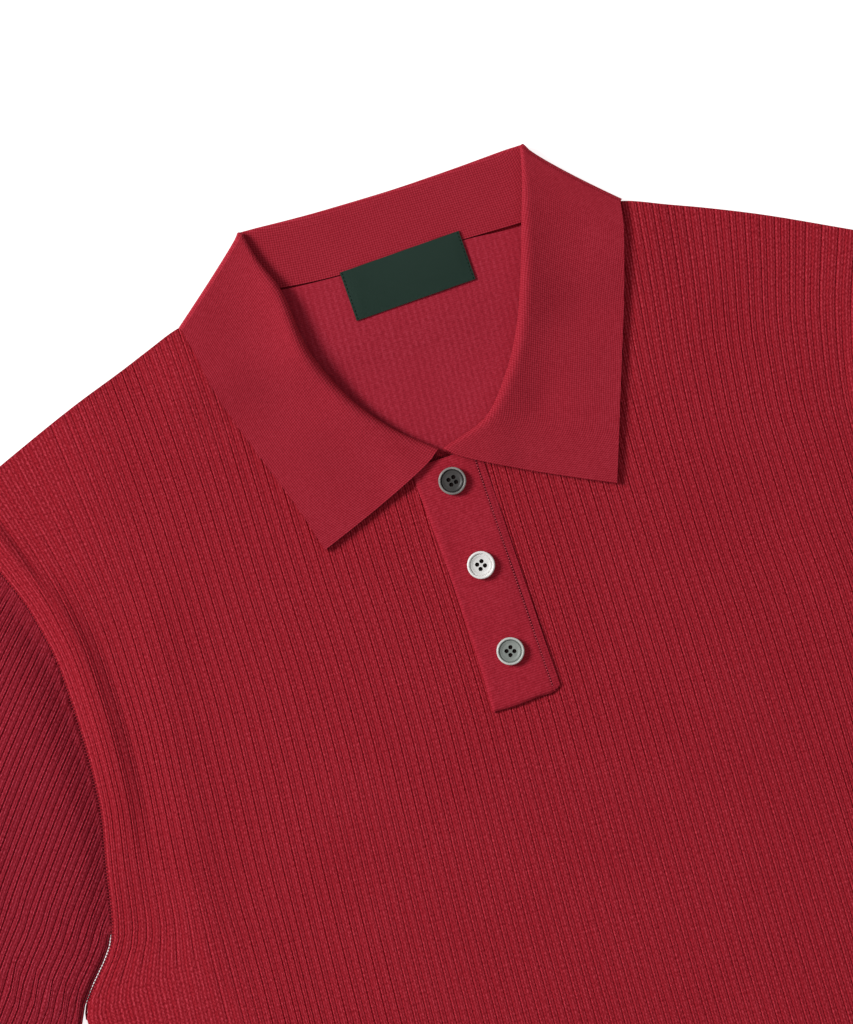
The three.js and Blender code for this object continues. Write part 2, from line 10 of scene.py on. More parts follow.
import bmesh
import bpy
import numpy as np
from bpy.props import FloatProperty, FloatVectorProperty, PointerProperty
from mathutils import Matrix, Vector


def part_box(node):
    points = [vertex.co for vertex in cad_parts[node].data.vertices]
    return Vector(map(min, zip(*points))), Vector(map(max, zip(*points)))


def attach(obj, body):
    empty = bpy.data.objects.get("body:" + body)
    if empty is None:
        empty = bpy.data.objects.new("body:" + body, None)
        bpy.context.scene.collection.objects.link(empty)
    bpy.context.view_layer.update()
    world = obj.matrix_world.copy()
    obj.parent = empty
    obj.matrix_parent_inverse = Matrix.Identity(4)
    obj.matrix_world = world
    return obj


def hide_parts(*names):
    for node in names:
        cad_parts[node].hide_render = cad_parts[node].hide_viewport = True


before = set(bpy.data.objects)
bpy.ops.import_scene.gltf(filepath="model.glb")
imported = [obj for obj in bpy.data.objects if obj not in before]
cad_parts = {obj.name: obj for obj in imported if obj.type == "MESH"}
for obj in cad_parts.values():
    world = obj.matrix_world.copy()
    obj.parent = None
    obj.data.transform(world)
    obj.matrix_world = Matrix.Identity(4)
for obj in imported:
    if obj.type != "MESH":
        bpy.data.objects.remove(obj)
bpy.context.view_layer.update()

bl_info = {
    "name": "Knitted polo-collar sweater",
    "version": (1, 0, 0),
    "blender": (4, 5, 0),
    "location": "3D View > Sidebar > Sweater",
    "description": "Builds the panels, sleeves, collar, placket, buttons and label of a knitted sweater",
    "category": "Add Mesh",
}

# ---- the pattern's sizes, in millimetres ---------------------------------------------------------


def columns(names, *rows):
    """A table as one array for each named column."""
    return dict(zip(names.split(), np.array(rows, float).T))


WALL = 2.0  # knitted cloth
GAP = 0.3  # air between two pieces
LEVEL = WALL + GAP
HEM_Y = -524.0
UNDERARM_Y = -160.0
EDGE_RIB = 35  # ribs are numbered 0 at the centre line and 35 at the side edge
ABOVE_ALL = 172.0  # higher than any rib's end
SHOULDER = {"left": (254.0, 104.0), "right": (247.0, 92.0)}
SIGN = {"left": -1.0, "right": 1.0}

# How far each rib lies from X = 0 at a height y: the centre rib, then ribs 12, 20 and 28 on each side.
RIBS = columns(
    "y centre left12 left20 left28 right12 right20 right28",
    (-524, -11, 90, 140, 189, 67, 120, 170),
    (-470, -11, 93.6, 146, 197, 70.8, 126, 178),
    (-300, -9.5, 92.1, 144.6, 195.6, 71.1, 126.1, 178),
    (-190, -7.6, 88.2, 140.4, 191.4, 72.1, 126.1, 177.5),
    (-108, -5.2, 83.6, 136, 187.4, 73, 125.5, 176.8),
    (-64, -4, 81.2, 133.1, 184.2, 73.2, 125.1, 176),
    (-20, -3.9, 80.4, 131.6, 181.5, 72.8, 123.5, 174),
    (20, -4, 81.1, 131.7, 181.2, 72.7, 123.5, 173.9),
    (64, -2.7, 80.9, 131.7, 183, 73.7, 126.4, 178.9),
    (108, -0.3, 79.8, 132.7, 186.5, 76.2, 133.2, 191.3),
    (170, 2, 78.6, 136, 192.5, 81.4, 142, 211),
)
# How far the side edge and the armhole lie from X = 0.
SIDES = columns(
    "y left right",
    (-524, 252, 244),
    (-470, 262, 254),
    (-300, 264, 258),
    (-160, 262, 256),
    (-124, 237.9, 231),
    (-90, 230.8, 224.5),
    (-56, 224.4, 219),
    (-23, 223, 218),
    (9, 223.8, 219),
    (42, 229.5, 225.5),
    (66, 238.2, 234.5),
    (104, 254, 252),
    (170, 280, 280),
)
# Height of the top edge: the back neck seam as far as x = 80, then the shoulder.
TOPS = columns(
    "x left right",
    (0, 158.3, 158.3),
    (32, 158.9, 157.9),
    (61, 160.6, 156.2),
    (80, 164.5, 163),
    (112, 158.3, 153.9),
    (118, 157.2, 152.1),
    (134, 151.6, 145.6),
    (150, 145.6, 139.2),
    (178, 135.7, 126.9),
    (214, 121.2, 109),
    (254, 104, 88.6),
)
# The front's neckline, just outside the collar's seam.
NECKLINE = columns(
    "x y",
    (-82.5, 170),
    (-80.9, 158),
    (-79.4, 147),
    (-75, 121.8),
    (-60.4, 91.6),
    (-34.3, 68.5),
    (-9.5, 57.5),
    (-5, 57.3),
    (20.2, 60.5),
    (41.3, 70.6),
    (59.4, 89.6),
    (74.4, 118.6),
    (79.4, 141.7),
    (80.9, 158),
    (82.5, 170),
)
# The collar's rows from the left front end round the back to the right front end: its neck seam, roll line
# and free edge, the radius of the roll, and how far the fall bows sideways. corner is 1 where the collar goes
# round the side of the neck, and the rows between the two corners lie on the back.
COLLAR = columns(
    "corner seam_x seam_y roll_x roll_y edge_x edge_y radius bow",
    (0, -9.5, 58, -10, 61.5, -79.4, 30, 1.8, 1.6),
    (0, -34, 69, -28, 77, -85, 50, 2.6, 0),
    (0, -60, 92, -46.4, 101, -93.5, 74.6, 3.6, 0),
    (0, -74.5, 122, -58.9, 132.5, -103.2, 102, 3.8, 0),
    (0, -79, 147, -62, 159, -109.6, 123.8, 3.2, 0),
    (0, -80.5, 158, -69, 178, -112.6, 141, 2, 0),
    (1, -82, 166.5, -74.5, 195, -117, 157.6, 1.15, 0.5),
    (0, -62, 161.9, -58, 193.8, -78, 141, 1.15, 0),
    (0, -32, 159.4, -30, 192.8, -38, 138, 1.15, 0),
    (0, 0, 158.8, 0, 192.6, 0, 137.5, 1.15, 0),
    (0, 32, 158.4, 30, 193.4, 38, 138, 1.15, 0),
    (0, 62, 158, 58, 194.8, 78, 140, 1.15, 0),
    (1, 82, 166, 74.4, 195.8, 114, 154.5, 1.15, 1.3),
    (0, 80.5, 158, 68.6, 177, 109.8, 138, 2, 0),
    (0, 79, 142, 62, 157, 104.8, 121.3, 3, 0),
    (0, 74, 119, 54.7, 134.6, 98.8, 102.2, 3.4, 0),
    (0, 59, 90, 43.8, 107, 90.6, 78.7, 3.4, 0),
    (0, 41, 71, 31.3, 86.3, 83.9, 59.4, 3, 0),
    (0, 20, 61, 15, 69, 77.6, 41.1, 2.4, 0),
    (0, -5, 57.8, -9, 61, 70, 19.3, 1.8, 1.8),
)
LEFT_CORNER, RIGHT_CORNER, LAST_ROW = 6, 12, 19  # rows of this table
STAND_STEPS, ROLL_STEPS, FALL_STEPS = 8, 9, 24  # grid steps of each stretch across the collar
STAND_CLEARANCE, FALL_CLEARANCE = 0.5, 0.6  # extra air under the front stand and the front fall
EDGE_SQUASH = 0.32  # how flat the folds at the side of the neck are pressed
CORE_Z = LEVEL * 2 - 0.15  # middle of the four layers at the side of the neck
# The back fall lifts all that lies above a height and inside a half width, with a slope round it.
FALL_LIES_BELOW, FALL_LIES_INSIDE, FALL_RAMP = 131.0, 118.0, 28.0

PLACKET = {"x": -7.0, "lean": 0.0325, "top": 57.0, "bottom": -72.0, "half": 18.0, "thick": 1.5}
SLIT = {"half": 13.0, "bottom": -66.0}
PLACKET_LIFT = 1.8  # how far the placket lifts the collar's ends
LINKING = 14.3  # from the strip's middle to the row of linking stitches on its right
BUTTON_Y = {"top": 44.4, "middle": 0.0, "bottom": -45.4}
LABEL = {"x": 0.2, "y": 149.0, "width": 63.0, "height": 25.5, "thick": 1.0, "turned": 2.4}

# Sleeves, in a frame of their own: along runs down the sleeve and out runs towards its top fold.
SLEEVE_TURN = math.radians(38)
SLEEVE_END = 668.0  # the cuff's edge
SLEEVE_TOP = columns("along out", (130, 274), (200, 279), (300, 277), (450, 267), (600, 252), (668, 252))
SLEEVE_BOTTOM = columns("along out", (350, 112), (450, 128), (600, 158), (668, 160))
SLEEVE_LOW = -128.0  # where the sleeve's seam starts
SLEEVE_FOLD_TOP = -124.0  # from here down to the underarm the body's edge is the sleeve's own lower fold
SLEEVE_PUFF = 2.5  # how far the upper layer stands above the lower one in the middle
SLEEVE_CROWN = {"height": 3.2, "rise": 28.0, "fade": 110.0}  # the sleeve stands up just outside its seam
SLEEVE_RIB = 1.1  # the sleeves' rib is a little deeper than the body's
SLEEVE_PERIODS = 24  # repeats of the rib across each of the sleeve's two layers
UNDER_LAYER_SHIFT = 0.7  # how far the rib of the lower layer is out of step with the upper one, in repeats

# Ridges of cloth beside the armholes: their height, where they end below and above, and how far inside the
# armhole they reach their crest, leave it and meet the flat cloth. They rise over FOLD_RISE at the lower end
# and fade over FOLD_FADE at the upper one.
FOLD_RISE, FOLD_FADE = 90.0, 30.0
ARMHOLE_FOLDS = {
    "left": {"height": 3.5, "low": -112, "high": 112, "crest": 13, "shoulder": 13, "foot": 24},
    "right": {"height": 3.6, "low": -110, "high": 104, "crest": 9, "shoulder": 15, "foot": 30},
}
# Soft long folds from one point to another.
FRONT_FOLDS = columns(
    "x0 y0 x1 y1 width height",
    (-234, 98, -216, 52, 3.4, -2.3),
    (-172, 30, -196, -150, 13, 1.4),
    (236, -150, 150, -40, 14, 1.6),
    (-236, -190, -150, -330, 22, 1.8),
    (60, -260, 120, -430, 26, 1.5),
    (-60, -330, -90, -500, 24, 1.4),
)
SLEEVE_FOLDS = columns(
    "x0 y0 x1 y1 width height",
    (-262, -20, -330, -160, 9, 1.2),
    (-300, 10, -400, -110, 12, 1.4),
    (-350, -150, -470, -290, 14, 1.5),
    (268, 60, 330, -60, 11, 1.3),
    (300, -80, 400, -200, 13, 1.5),
    (400, -120, 500, -270, 14, 1.3),
)

# One repeat of the rib, as shares of its width, with the depth of the cloth below its highest wale.
RIB_PROFILE = columns(
    "share depth",
    (0, 0.33),
    (0.05, 0.1),
    (0.14, 0.4),
    (0.25, 0),
    (0.35, 0.36),
    (0.445, 0.04),
    (0.55, 0.72),
    (0.66, 0),
    (0.755, 0.38),
    (0.85, 0.04),
    (0.955, 0.6),
)
# Painted shade and light across one repeat of the rib, with 1 for the wool's plain colour: the furrows are
# painted darker as shade and the wales' crests paler as painted light.
RIB_PAINTED_LIGHT_AND_SHADE = (
    (0, 0.83), (0.05, 1.12), (0.14, 0.6), (0.25, 1.42), (0.35, 0.62), (0.445, 1.34),
    (0.55, 0.62), (0.66, 1.4), (0.755, 0.6), (0.85, 1.36), (0.955, 0.53), (1, 0.83),
)

LOOPS_PER_MM = 0.62  # of the rib, along its wales
FIBRE_GRAIN = 1.1  # of the flat knit

# Half of a button's outline from its back round its rim to its well: radius and height.
BUTTON_OUTLINE = (
    (0, 0), (5.8, 0), (6.6, 0.35), (7, 1), (7, 2), (6.85, 2.4), (6.5, 2.6), (6.0, 2.55),
    (5.75, 2.3), (5.5, 1.5), (5.15, 1.85), (4.6, 1.8), (4.3, 1.6), (3.6, 1.5), (0, 1.5),
)
RIM_FROM = 6.0  # radius from which a button has the rim's finish
HOLE_CIRCLE, HOLE_RADIUS, THREAD_RADIUS = 1.95, 1.1, 1.08

# The view: straight down on a point a little up and left of the middle button, turned a little.
VIEW_CENTRE = (-25.3, 33.3, 5.0)
VIEW_LENGTH = 512.0  # what the taller side of the view takes in
VIEW_TURN = math.radians(-17)
SENSOR = 36.0

# ---- numbers -------------------------------------------------------------------------------------


def smooth(t):
    """An even rise from 0 to 1 without corners."""
    t = np.clip(t, 0, 1)
    return t * t * (3 - 2 * t)


def mix(a, b, t):
    """The value at share t of the way from a to b."""
    return a + (b - a) * t


def curve(knots, values, at):
    """The value at each place on a smooth curve through the knots, which never overshoots them."""
    at = np.asarray(at, float)
    flat = at.ravel()
    values = np.asarray(values, float).reshape(len(knots), -1)
    values = np.broadcast_to(values, (len(knots), flat.size))
    chords = np.diff(values, axis=0) / np.diff(knots)[:, None]
    before = np.vstack([chords[:1], chords])
    after = np.vstack([chords, chords[-1:]])
    total = np.where(before * after > 0, before + after, 1)
    slopes = np.where(before * after > 0, 2 * before * after / total, 0)
    i = np.clip(np.searchsorted(knots, flat, side="left") - 1, 0, len(knots) - 2)
    n = np.arange(flat.size)
    span = np.diff(knots)[i]
    t = np.clip((flat - np.asarray(knots)[i]) / span, 0, 1)
    rise, fall = slopes[i, n] * span, slopes[i + 1, n] * span
    bend = values[i, n] - values[i + 1, n]
    result = values[i, n] + t * (rise + t * (-3 * bend - 2 * rise - fall + t * (2 * bend + rise + fall)))
    return result.reshape(at.shape)


def look_up(table, key, value, at):
    """One column of a table at each place along its key column."""
    return curve(table[key], table[value], at)


def sided(table, key, left, at):
    """The left or the right column of a table at each place."""
    return np.where(left, look_up(table, key, "left", at), look_up(table, key, "right", at))


# ---- the body's shape ----------------------------------------------------------------------------


def side_edge(left, y):
    """How far the body's edge lies from X = 0 on each side."""
    return sided(SIDES, "y", left, y)


def rib_x(rib, y):
    """X of a rib at a height; ribs left of the centre have negative numbers."""
    left = rib < 0
    sign = np.where(left, -1.0, 1.0)
    values = [sign * look_up(RIBS, "y", "centre", y)]
    for number in (12, 20, 28):
        on_left, on_right = (look_up(RIBS, "y", f"{side}{number}", y) for side in ("left", "right"))
        values.append(np.where(left, on_left, on_right))
    values.append(side_edge(left, y))
    stacked = np.array([v.ravel() for v in values])
    return sign * curve([0, 12, 20, 28, EDGE_RIB], stacked, np.abs(rib))


def back_top(x):
    """Height of the back's top edge."""
    return sided(TOPS, "x", x < 0, np.abs(x))


def front_top(x):
    """Height of the front's top edge, with its neckline."""
    inside = np.abs(x) < NECKLINE["x"][-1]
    return np.where(inside, np.minimum(look_up(NECKLINE, "x", "y", x), back_top(x)), back_top(x))


def rib_ends(ribs, top):
    """Height at which each rib meets the top outline."""
    low, high = np.full(ribs.shape, HEM_Y), np.full(ribs.shape, ABOVE_ALL)
    for _ in range(30):
        middle = (low + high) / 2
        above = middle > top(rib_x(ribs, middle))
        low, high = np.where(above, low, middle), np.where(above, middle, high)
    ends = (low + high) / 2
    ends[ribs <= -EDGE_RIB] = SHOULDER["left"][1]
    ends[ribs >= EDGE_RIB] = SHOULDER["right"][1]
    return ends


def lift_at(x, y):
    """The lift that the collar's back fall gives to what lies on it."""
    sideways = 1 - smooth((np.abs(x) - FALL_LIES_INSIDE) / FALL_RAMP)
    return LEVEL * sideways * (1 - smooth((FALL_LIES_BELOW - y) / FALL_RAMP))


def armhole_fold(x, y):
    """Height of the ridges beside the armholes."""
    total = np.zeros(np.shape(x))
    for side, fold in ARMHOLE_FOLDS.items():
        inside = side_edge(side == "left", y) - SIGN[side] * x
        across = smooth(inside / fold["crest"])
        across = across * (1 - smooth((inside - fold["shoulder"]) / (fold["foot"] - fold["shoulder"])))
        along = smooth((y - fold["low"]) / FOLD_RISE) * smooth((fold["high"] - y) / FOLD_FADE)
        total = total + np.where(SIGN[side] * x > 0, fold["height"] * across * along, 0)
    return total


def soft_folds(table, x, y):
    """Height of the soft folds of a table."""
    total = np.zeros(np.shape(x))
    for x0, y0, x1, y1, width, height in zip(*table.values()):
        length = math.hypot(x1 - x0, y1 - y0)
        ux, uy = (x1 - x0) / length, (y1 - y0) / length
        along = (x - x0) * ux + (y - y0) * uy
        across = ((x - x0) * uy - (y - y0) * ux) / width
        ends = smooth(along / 40 + 0.5) * smooth((length - along) / 40 + 0.5)
        total = total + height * np.exp(-across * across) * ends
    return total


def uneven(x, y):
    """Slow unevenness of cloth that lies by hand."""
    return 0.22 * np.sin(x / 37 + 1.3) * np.sin(y / 53 + 0.4) + 0.14 * np.sin(x / 19 + y / 31)


def rib_depth(repeats):
    """Depth of the rib at a place counted in repeats."""
    shares = np.append(RIB_PROFILE["share"], 1)
    return np.interp(np.mod(repeats, 1), shares, np.append(RIB_PROFILE["depth"], RIB_PROFILE["depth"][0]))


def rib_columns(first, last):
    """Column positions that catch every corner of the rib's profile, counted in repeats."""
    whole = np.arange(first, last)[:, None] + RIB_PROFILE["share"][None, :]
    return np.append(whole.ravel(), last)


# ---- sheets of cloth -----------------------------------------------------------------------------

MIDDLE_BUTTON = sum(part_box("button_middle"), Vector()) / 2 * 1000
OFFSET = np.array([MIDDLE_BUTTON.x - PLACKET["x"], MIDDLE_BUTTON.y, 0.0])  # from the plan to the frame


def finished(mesh_edit, name):
    """A new mesh from an edit, which is then closed."""
    mesh = bpy.data.meshes.new(name)
    mesh_edit.to_mesh(mesh)
    mesh_edit.free()
    return mesh


def sheet_mesh(name, column_count, row_count, place, hole=None, wrapped=False):
    """A closed two-layer sheet of cloth.

    It starts as a flat grid of whole columns and rows that solidify gives a second layer. Then
    place(column, row, upper) says where each corner lies in the pattern's plan and what its two pattern
    coordinates are. hole(column, row) is true for the faces that are left out.
    """
    mesh_edit = bmesh.new()
    bmesh.ops.create_grid(mesh_edit, x_segments=column_count, y_segments=row_count, size=0.5)
    bmesh.ops.transform(
        mesh_edit,
        matrix=Matrix.Diagonal((column_count, row_count, 1, 1)) @ Matrix.Translation((0.5, 0.5, 0)),
        verts=mesh_edit.verts,
    )
    if hole is not None:
        centres = np.array([face.calc_center_median()[:2] for face in mesh_edit.faces])
        left_out = hole(centres[:, 0], centres[:, 1])
        gone = [face for face, out in zip(mesh_edit.faces, left_out) if out]
        bmesh.ops.delete(mesh_edit, geom=gone, context="FACES")
    bmesh.ops.solidify(mesh_edit, geom=mesh_edit.faces[:], thickness=1.0)
    mesh = finished(mesh_edit, name)

    corners = np.zeros(len(mesh.vertices) * 3)
    mesh.vertices.foreach_get("co", corners)
    corners = corners.reshape(-1, 3)
    column, row = np.rint(corners[:, 0]).astype(int), np.rint(corners[:, 1]).astype(int)
    upper = corners[:, 2] > (corners[:, 2].max() + corners[:, 2].min()) / 2
    points, pattern = place(column, row, upper)
    mesh.vertices.foreach_set("co", ((points + OFFSET) / 1000).ravel())
    loops = np.zeros(len(mesh.loops), int)
    mesh.loops.foreach_get("vertex_index", loops)
    layer = mesh.uv_layers.new(name="knit")
    layer.data.foreach_set("uv", pattern[loops].ravel())
    # The second material slot is for the lower layer and the third for the cut edges.
    starts = np.zeros(len(mesh.polygons), int)
    mesh.polygons.foreach_get("loop_start", starts)
    corner_layers = upper[loops[starts[:, None] + np.arange(4)]]
    slots = np.where(corner_layers.all(1), 0, np.where(corner_layers.any(1), 2, 1))
    mesh.polygons.foreach_set("material_index", slots)

    mesh_edit = bmesh.new()
    mesh_edit.from_mesh(mesh)
    if wrapped:
        bmesh.ops.remove_doubles(mesh_edit, verts=mesh_edit.verts, dist=1e-6)
    bmesh.ops.recalc_face_normals(mesh_edit, faces=mesh_edit.faces)
    mesh_edit.to_mesh(mesh)
    mesh_edit.free()
    mesh.polygons.foreach_set("use_smooth", [True] * len(mesh.polygons))
    mesh.set_sharp_from_angle(angle=math.radians(72))
    mesh.update()
    return mesh


def add_piece(mesh, materials, slot, *cad_nodes):
    """Links a finished mesh as a piece that rides on the one body and stands for its CAD nodes."""
    piece = bpy.data.objects.new(mesh.name, mesh)
    bpy.context.scene.collection.objects.link(piece)
    for material in materials:
        mesh.materials.append(material)
    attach(piece, "root")
    if cad_nodes:
        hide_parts(*cad_nodes)
    return piece


def thickened(middle, half, wrapped):
    """The two faces of a cloth: middle is a grid of points, and half holds each point's way to both faces."""
    if wrapped:
        padded = np.concatenate([middle[:, -2:-1], middle, middle[:, 1:2]], axis=1)
        across = padded[:, 2:] - padded[:, :-2]
    else:
        across = np.gradient(middle, axis=1)
    along = np.gradient(middle, axis=0)
    normal = np.cross(across, along)
    normal /= np.linalg.norm(normal, axis=2, keepdims=True)
    return middle + normal * half[..., 0:1], middle - normal * half[..., 1:2]


# ---- front and back ------------------------------------------------------------------------------


def panel_plan(ribs, top):
    """Plan points of a panel: a row for each share of the ribs' length, a column for each place across."""
    shoulder_y = SHOULDER["left"][1]
    below, above = np.linspace(HEM_Y, UNDERARM_Y, 15)[:-1], np.linspace(UNDERARM_Y, shoulder_y, 33)
    shares = (np.concatenate([below, above]) - HEM_Y) / (shoulder_y - HEM_Y)
    ends = rib_ends(ribs, top)
    y = mix(HEM_Y, ends[None, :], shares[:, None])
    x = rib_x(np.broadcast_to(ribs, y.shape).ravel(), y.ravel()).reshape(y.shape)
    return x, y


def panel_mesh(name, is_front, depth):
    """A body panel whose outer face has the rib in relief."""
    ribs = rib_columns(-EDGE_RIB, EDGE_RIB)
    x, y = panel_plan(ribs, front_top if is_front else back_top)
    inside = side_edge(x < 0, y) - np.abs(x)
    by_armhole = smooth((y - UNDERARM_Y + 10) / 20)
    relief = depth * rib_depth(ribs)[None, :] * mix(1, smooth((inside - 1.5) / 2), by_armhole)
    relief = relief + 0.9 * np.exp(-((inside / 2.2) ** 2))  # the outer face rounds down to the edge
    if is_front:
        base = LEVEL + lift_at(x, y) + armhole_fold(x, y) + soft_folds(FRONT_FOLDS, x, y)
        upper_z = base + WALL + uneven(x, y) * smooth(inside / 20) - relief
        lower_z = base
    else:
        base = lift_at(x, y)
        upper_z = base + WALL
        lower_z = base + relief

    def place(column, row, upper):
        z = np.where(upper, upper_z[row, column], lower_z[row, column])
        return np.stack([x[row, column], y[row, column], z], 1), np.stack([ribs[column], y[row, column]], 1)

    def in_slit(column, row):
        c, r = column.astype(int), row.astype(int)
        px, py = x[r, c] - PLACKET["x"], y[r, c]
        across = px + PLACKET["lean"] * py
        return (np.abs(across) < SLIT["half"]) & (py > SLIT["bottom"])

    return sheet_mesh(name, len(ribs) - 1, x.shape[0] - 1, place, in_slit if is_front else None)


# ---- sleeves -------------------------------------------------------------------------------------


def to_sleeve(side, x, y):
    """Plan points in the sleeve's own frame."""
    s, c = math.sin(SLEEVE_TURN), math.cos(SLEEVE_TURN)
    return s * SIGN[side] * x - c * y, c * SIGN[side] * x + s * y


def from_sleeve(side, along, out):
    """Points of the sleeve's own frame in the plan."""
    s, c = math.sin(SLEEVE_TURN), math.cos(SLEEVE_TURN)
    return SIGN[side] * (s * along + c * out), -c * along + s * out


def beside_body(side, y):
    """Points just outside the body's edge, in the sleeve's own frame."""
    return to_sleeve(side, SIGN[side] * (side_edge(side == "left", y) + GAP), y)


def sleeve_outline(side, bend):
    """Two functions: how far out the sleeve is at a place and a share across it, and where it starts."""
    shoulder_x, shoulder_y = SHOULDER[side]
    shoulder = to_sleeve(side, SIGN[side] * shoulder_x, shoulder_y)
    inset = bend + WALL / 2 + GAP
    rim = beside_body(side, np.linspace(SLEEVE_LOW, shoulder_y, 60))
    fold = beside_body(side, np.linspace(SLEEVE_FOLD_TOP, UNDERARM_Y, 10))
    top_along = np.append(shoulder[0], SLEEVE_TOP["along"])
    top_out = np.append(shoulder[1], SLEEVE_TOP["out"])
    bottom_along = np.concatenate([fold[0], SLEEVE_BOTTOM["along"]])
    bottom_out = np.concatenate([fold[1], SLEEVE_BOTTOM["out"]])

    def out_at(along, share):
        low = curve(bottom_along, bottom_out, along) + inset
        high = curve(top_along, top_out, along) - inset
        return mix(low, high, share)

    def start_at(share):
        low, high = out_at(rim[0], 0), out_at(rim[0], 1)
        return np.interp(share, (rim[1] - low) / (high - low), rim[0])

    return out_at, start_at


def sleeve_grid_columns():
    """The columns round a flattened sleeve: upper layer, top fold, lower layer, bottom fold, start again.

    For each column: its share across the sleeve, which of the four parts it is on, its angle round a fold,
    and its place in repeats of the rib.
    """
    ribs = rib_columns(0, SLEEVE_PERIODS)
    turn = np.radians([60, 36, 12, -12, -36, -60])
    fold, layer = np.ones(len(turn)), np.ones(len(ribs))
    under = 2 * SLEEVE_PERIODS
    parts = (
        (ribs / SLEEVE_PERIODS, fold, ribs[::-1] / SLEEVE_PERIODS, 0 * fold),
        (0 * layer, fold, 2 * layer, 3 * fold),
        (0 * layer, turn, 0 * layer, -turn),
        (
            ribs,
            SLEEVE_PERIODS + np.linspace(0.1, 0.6, len(turn)),
            under + UNDER_LAYER_SHIFT - ribs[::-1],
            under + np.linspace(0.8, 1.3, len(turn)),
        ),
    )
    whole = (np.concatenate(values) for values in parts)
    return [np.append(values, values[0]) for values in whole]


def sleeve_height(stations, shares, from_seam, x, y):
    """How far the sleeve's upper layer stands above its flat place."""
    puff = SLEEVE_PUFF * smooth(stations / 0.06) * smooth((1 - stations) / 0.2)
    puff = puff[:, None] * np.sin(np.pi * shares)[None, :]
    puff = puff + (soft_folds(SLEEVE_FOLDS, x, y) + uneven(x, y)) * (np.sin(np.pi * shares) ** 0.5)[None, :]
    rise, fade = SLEEVE_CROWN["rise"], SLEEVE_CROWN["fade"]
    crown = SLEEVE_CROWN["height"] * smooth(from_seam / rise) * (1 - smooth((from_seam - rise) / fade))
    return puff + crown * (np.sin(np.pi * shares) ** 0.4)[None, :]


def sleeve_mesh(side, depth):
    """A sleeve as a flattened tube with the rib in relief, from its seam at the armhole to the cuff."""
    upper_z, lower_z = WALL * 1.5 + GAP, WALL / 2
    bend = (upper_z - lower_z) / 2
    out_at, start_at = sleeve_outline(side, bend)
    shares, part, angles, around = sleeve_grid_columns()
    on_fold, on_lower = part % 2 == 1, part == 2
    stations = np.concatenate([[0, 0.006, 0.014, 0.026], np.linspace(0.045, 1, 36)])
    start = start_at(shares)
    along = mix(start[None, :], SLEEVE_END, stations[:, None])
    from_seam = along - start[None, :]
    out = out_at(along, np.broadcast_to(shares, along.shape))
    out = out + np.where(part == 1, 1, np.where(part == 3, -1, 0)) * bend * np.cos(angles)
    x, y = from_sleeve(side, along, out)

    top_z = upper_z + sleeve_height(stations, shares, from_seam, x, y)
    middle_z = np.where(part == 0, top_z, np.where(on_lower, lower_z, (upper_z + lower_z) / 2))
    middle_z = middle_z + np.where(on_fold, bend * np.sin(angles), 0)
    middle = np.stack([x, y, middle_z], 2)
    relief = np.where(on_fold, 0.3, rib_depth(np.where(on_lower, shares * SLEEVE_PERIODS, around))) * depth
    relief = relief[None, :] * smooth((from_seam - 1) / 4)
    relief = relief + 0.8 * np.exp(-((from_seam / 3) ** 2))  # the edge rounds down into the seam
    half = np.stack([WALL / 2 - relief, np.full(relief.shape, WALL / 2)], 2)
    # The grid of the right sleeve runs the other way round, so its two faces change places.
    if side == "left":
        outer, inner = thickened(middle, half, True)
    else:
        inner, outer = thickened(middle, half[..., ::-1], True)

    def place(column, row, upper):
        points = np.where(upper[:, None], outer[row, column], inner[row, column])
        points[:, 2] = np.maximum(points[:, 2], 0)
        return points, np.stack([around[column], along[row, column]], 1)

    return sheet_mesh(f"sleeve_{side}_knit", len(shares) - 1, len(stations) - 1, place, wrapped=True)


# ---- collar --------------------------------------------------------------------------------------


def unit(v):
    """A vector's direction."""
    return v / np.linalg.norm(v)


def placket_lift(x, y):
    """The lift that the placket gives to the collar's ends."""
    sideways = 1 - smooth((abs(x - PLACKET["x"]) - PLACKET["half"] - 2) / 18)
    return PLACKET_LIFT * sideways * smooth((y - 15) / 15)


def leaf_shape(x, y):
    """Soft unevenness of the collar's front leaves."""
    dip = -1.3 * np.exp(-(((x - 44) / 13) ** 2) - ((y - 71) / 12) ** 2)
    rise = 0.7 * np.exp(-(((x - 66) / 14) ** 2) - ((y - 84) / 22) ** 2)
    left = 0.6 * np.exp(-(((x + 72) / 12) ** 2) - ((y - 78) / 26) ** 2)
    return dip + rise + left


def sideways_from(a, b, outward):
    """The direction across the line from a to b that points away from the middle of the neck."""
    line = unit(b - a)
    normal = np.array([-line[1], line[0]])
    return -normal if normal[0] * outward < 0 else normal


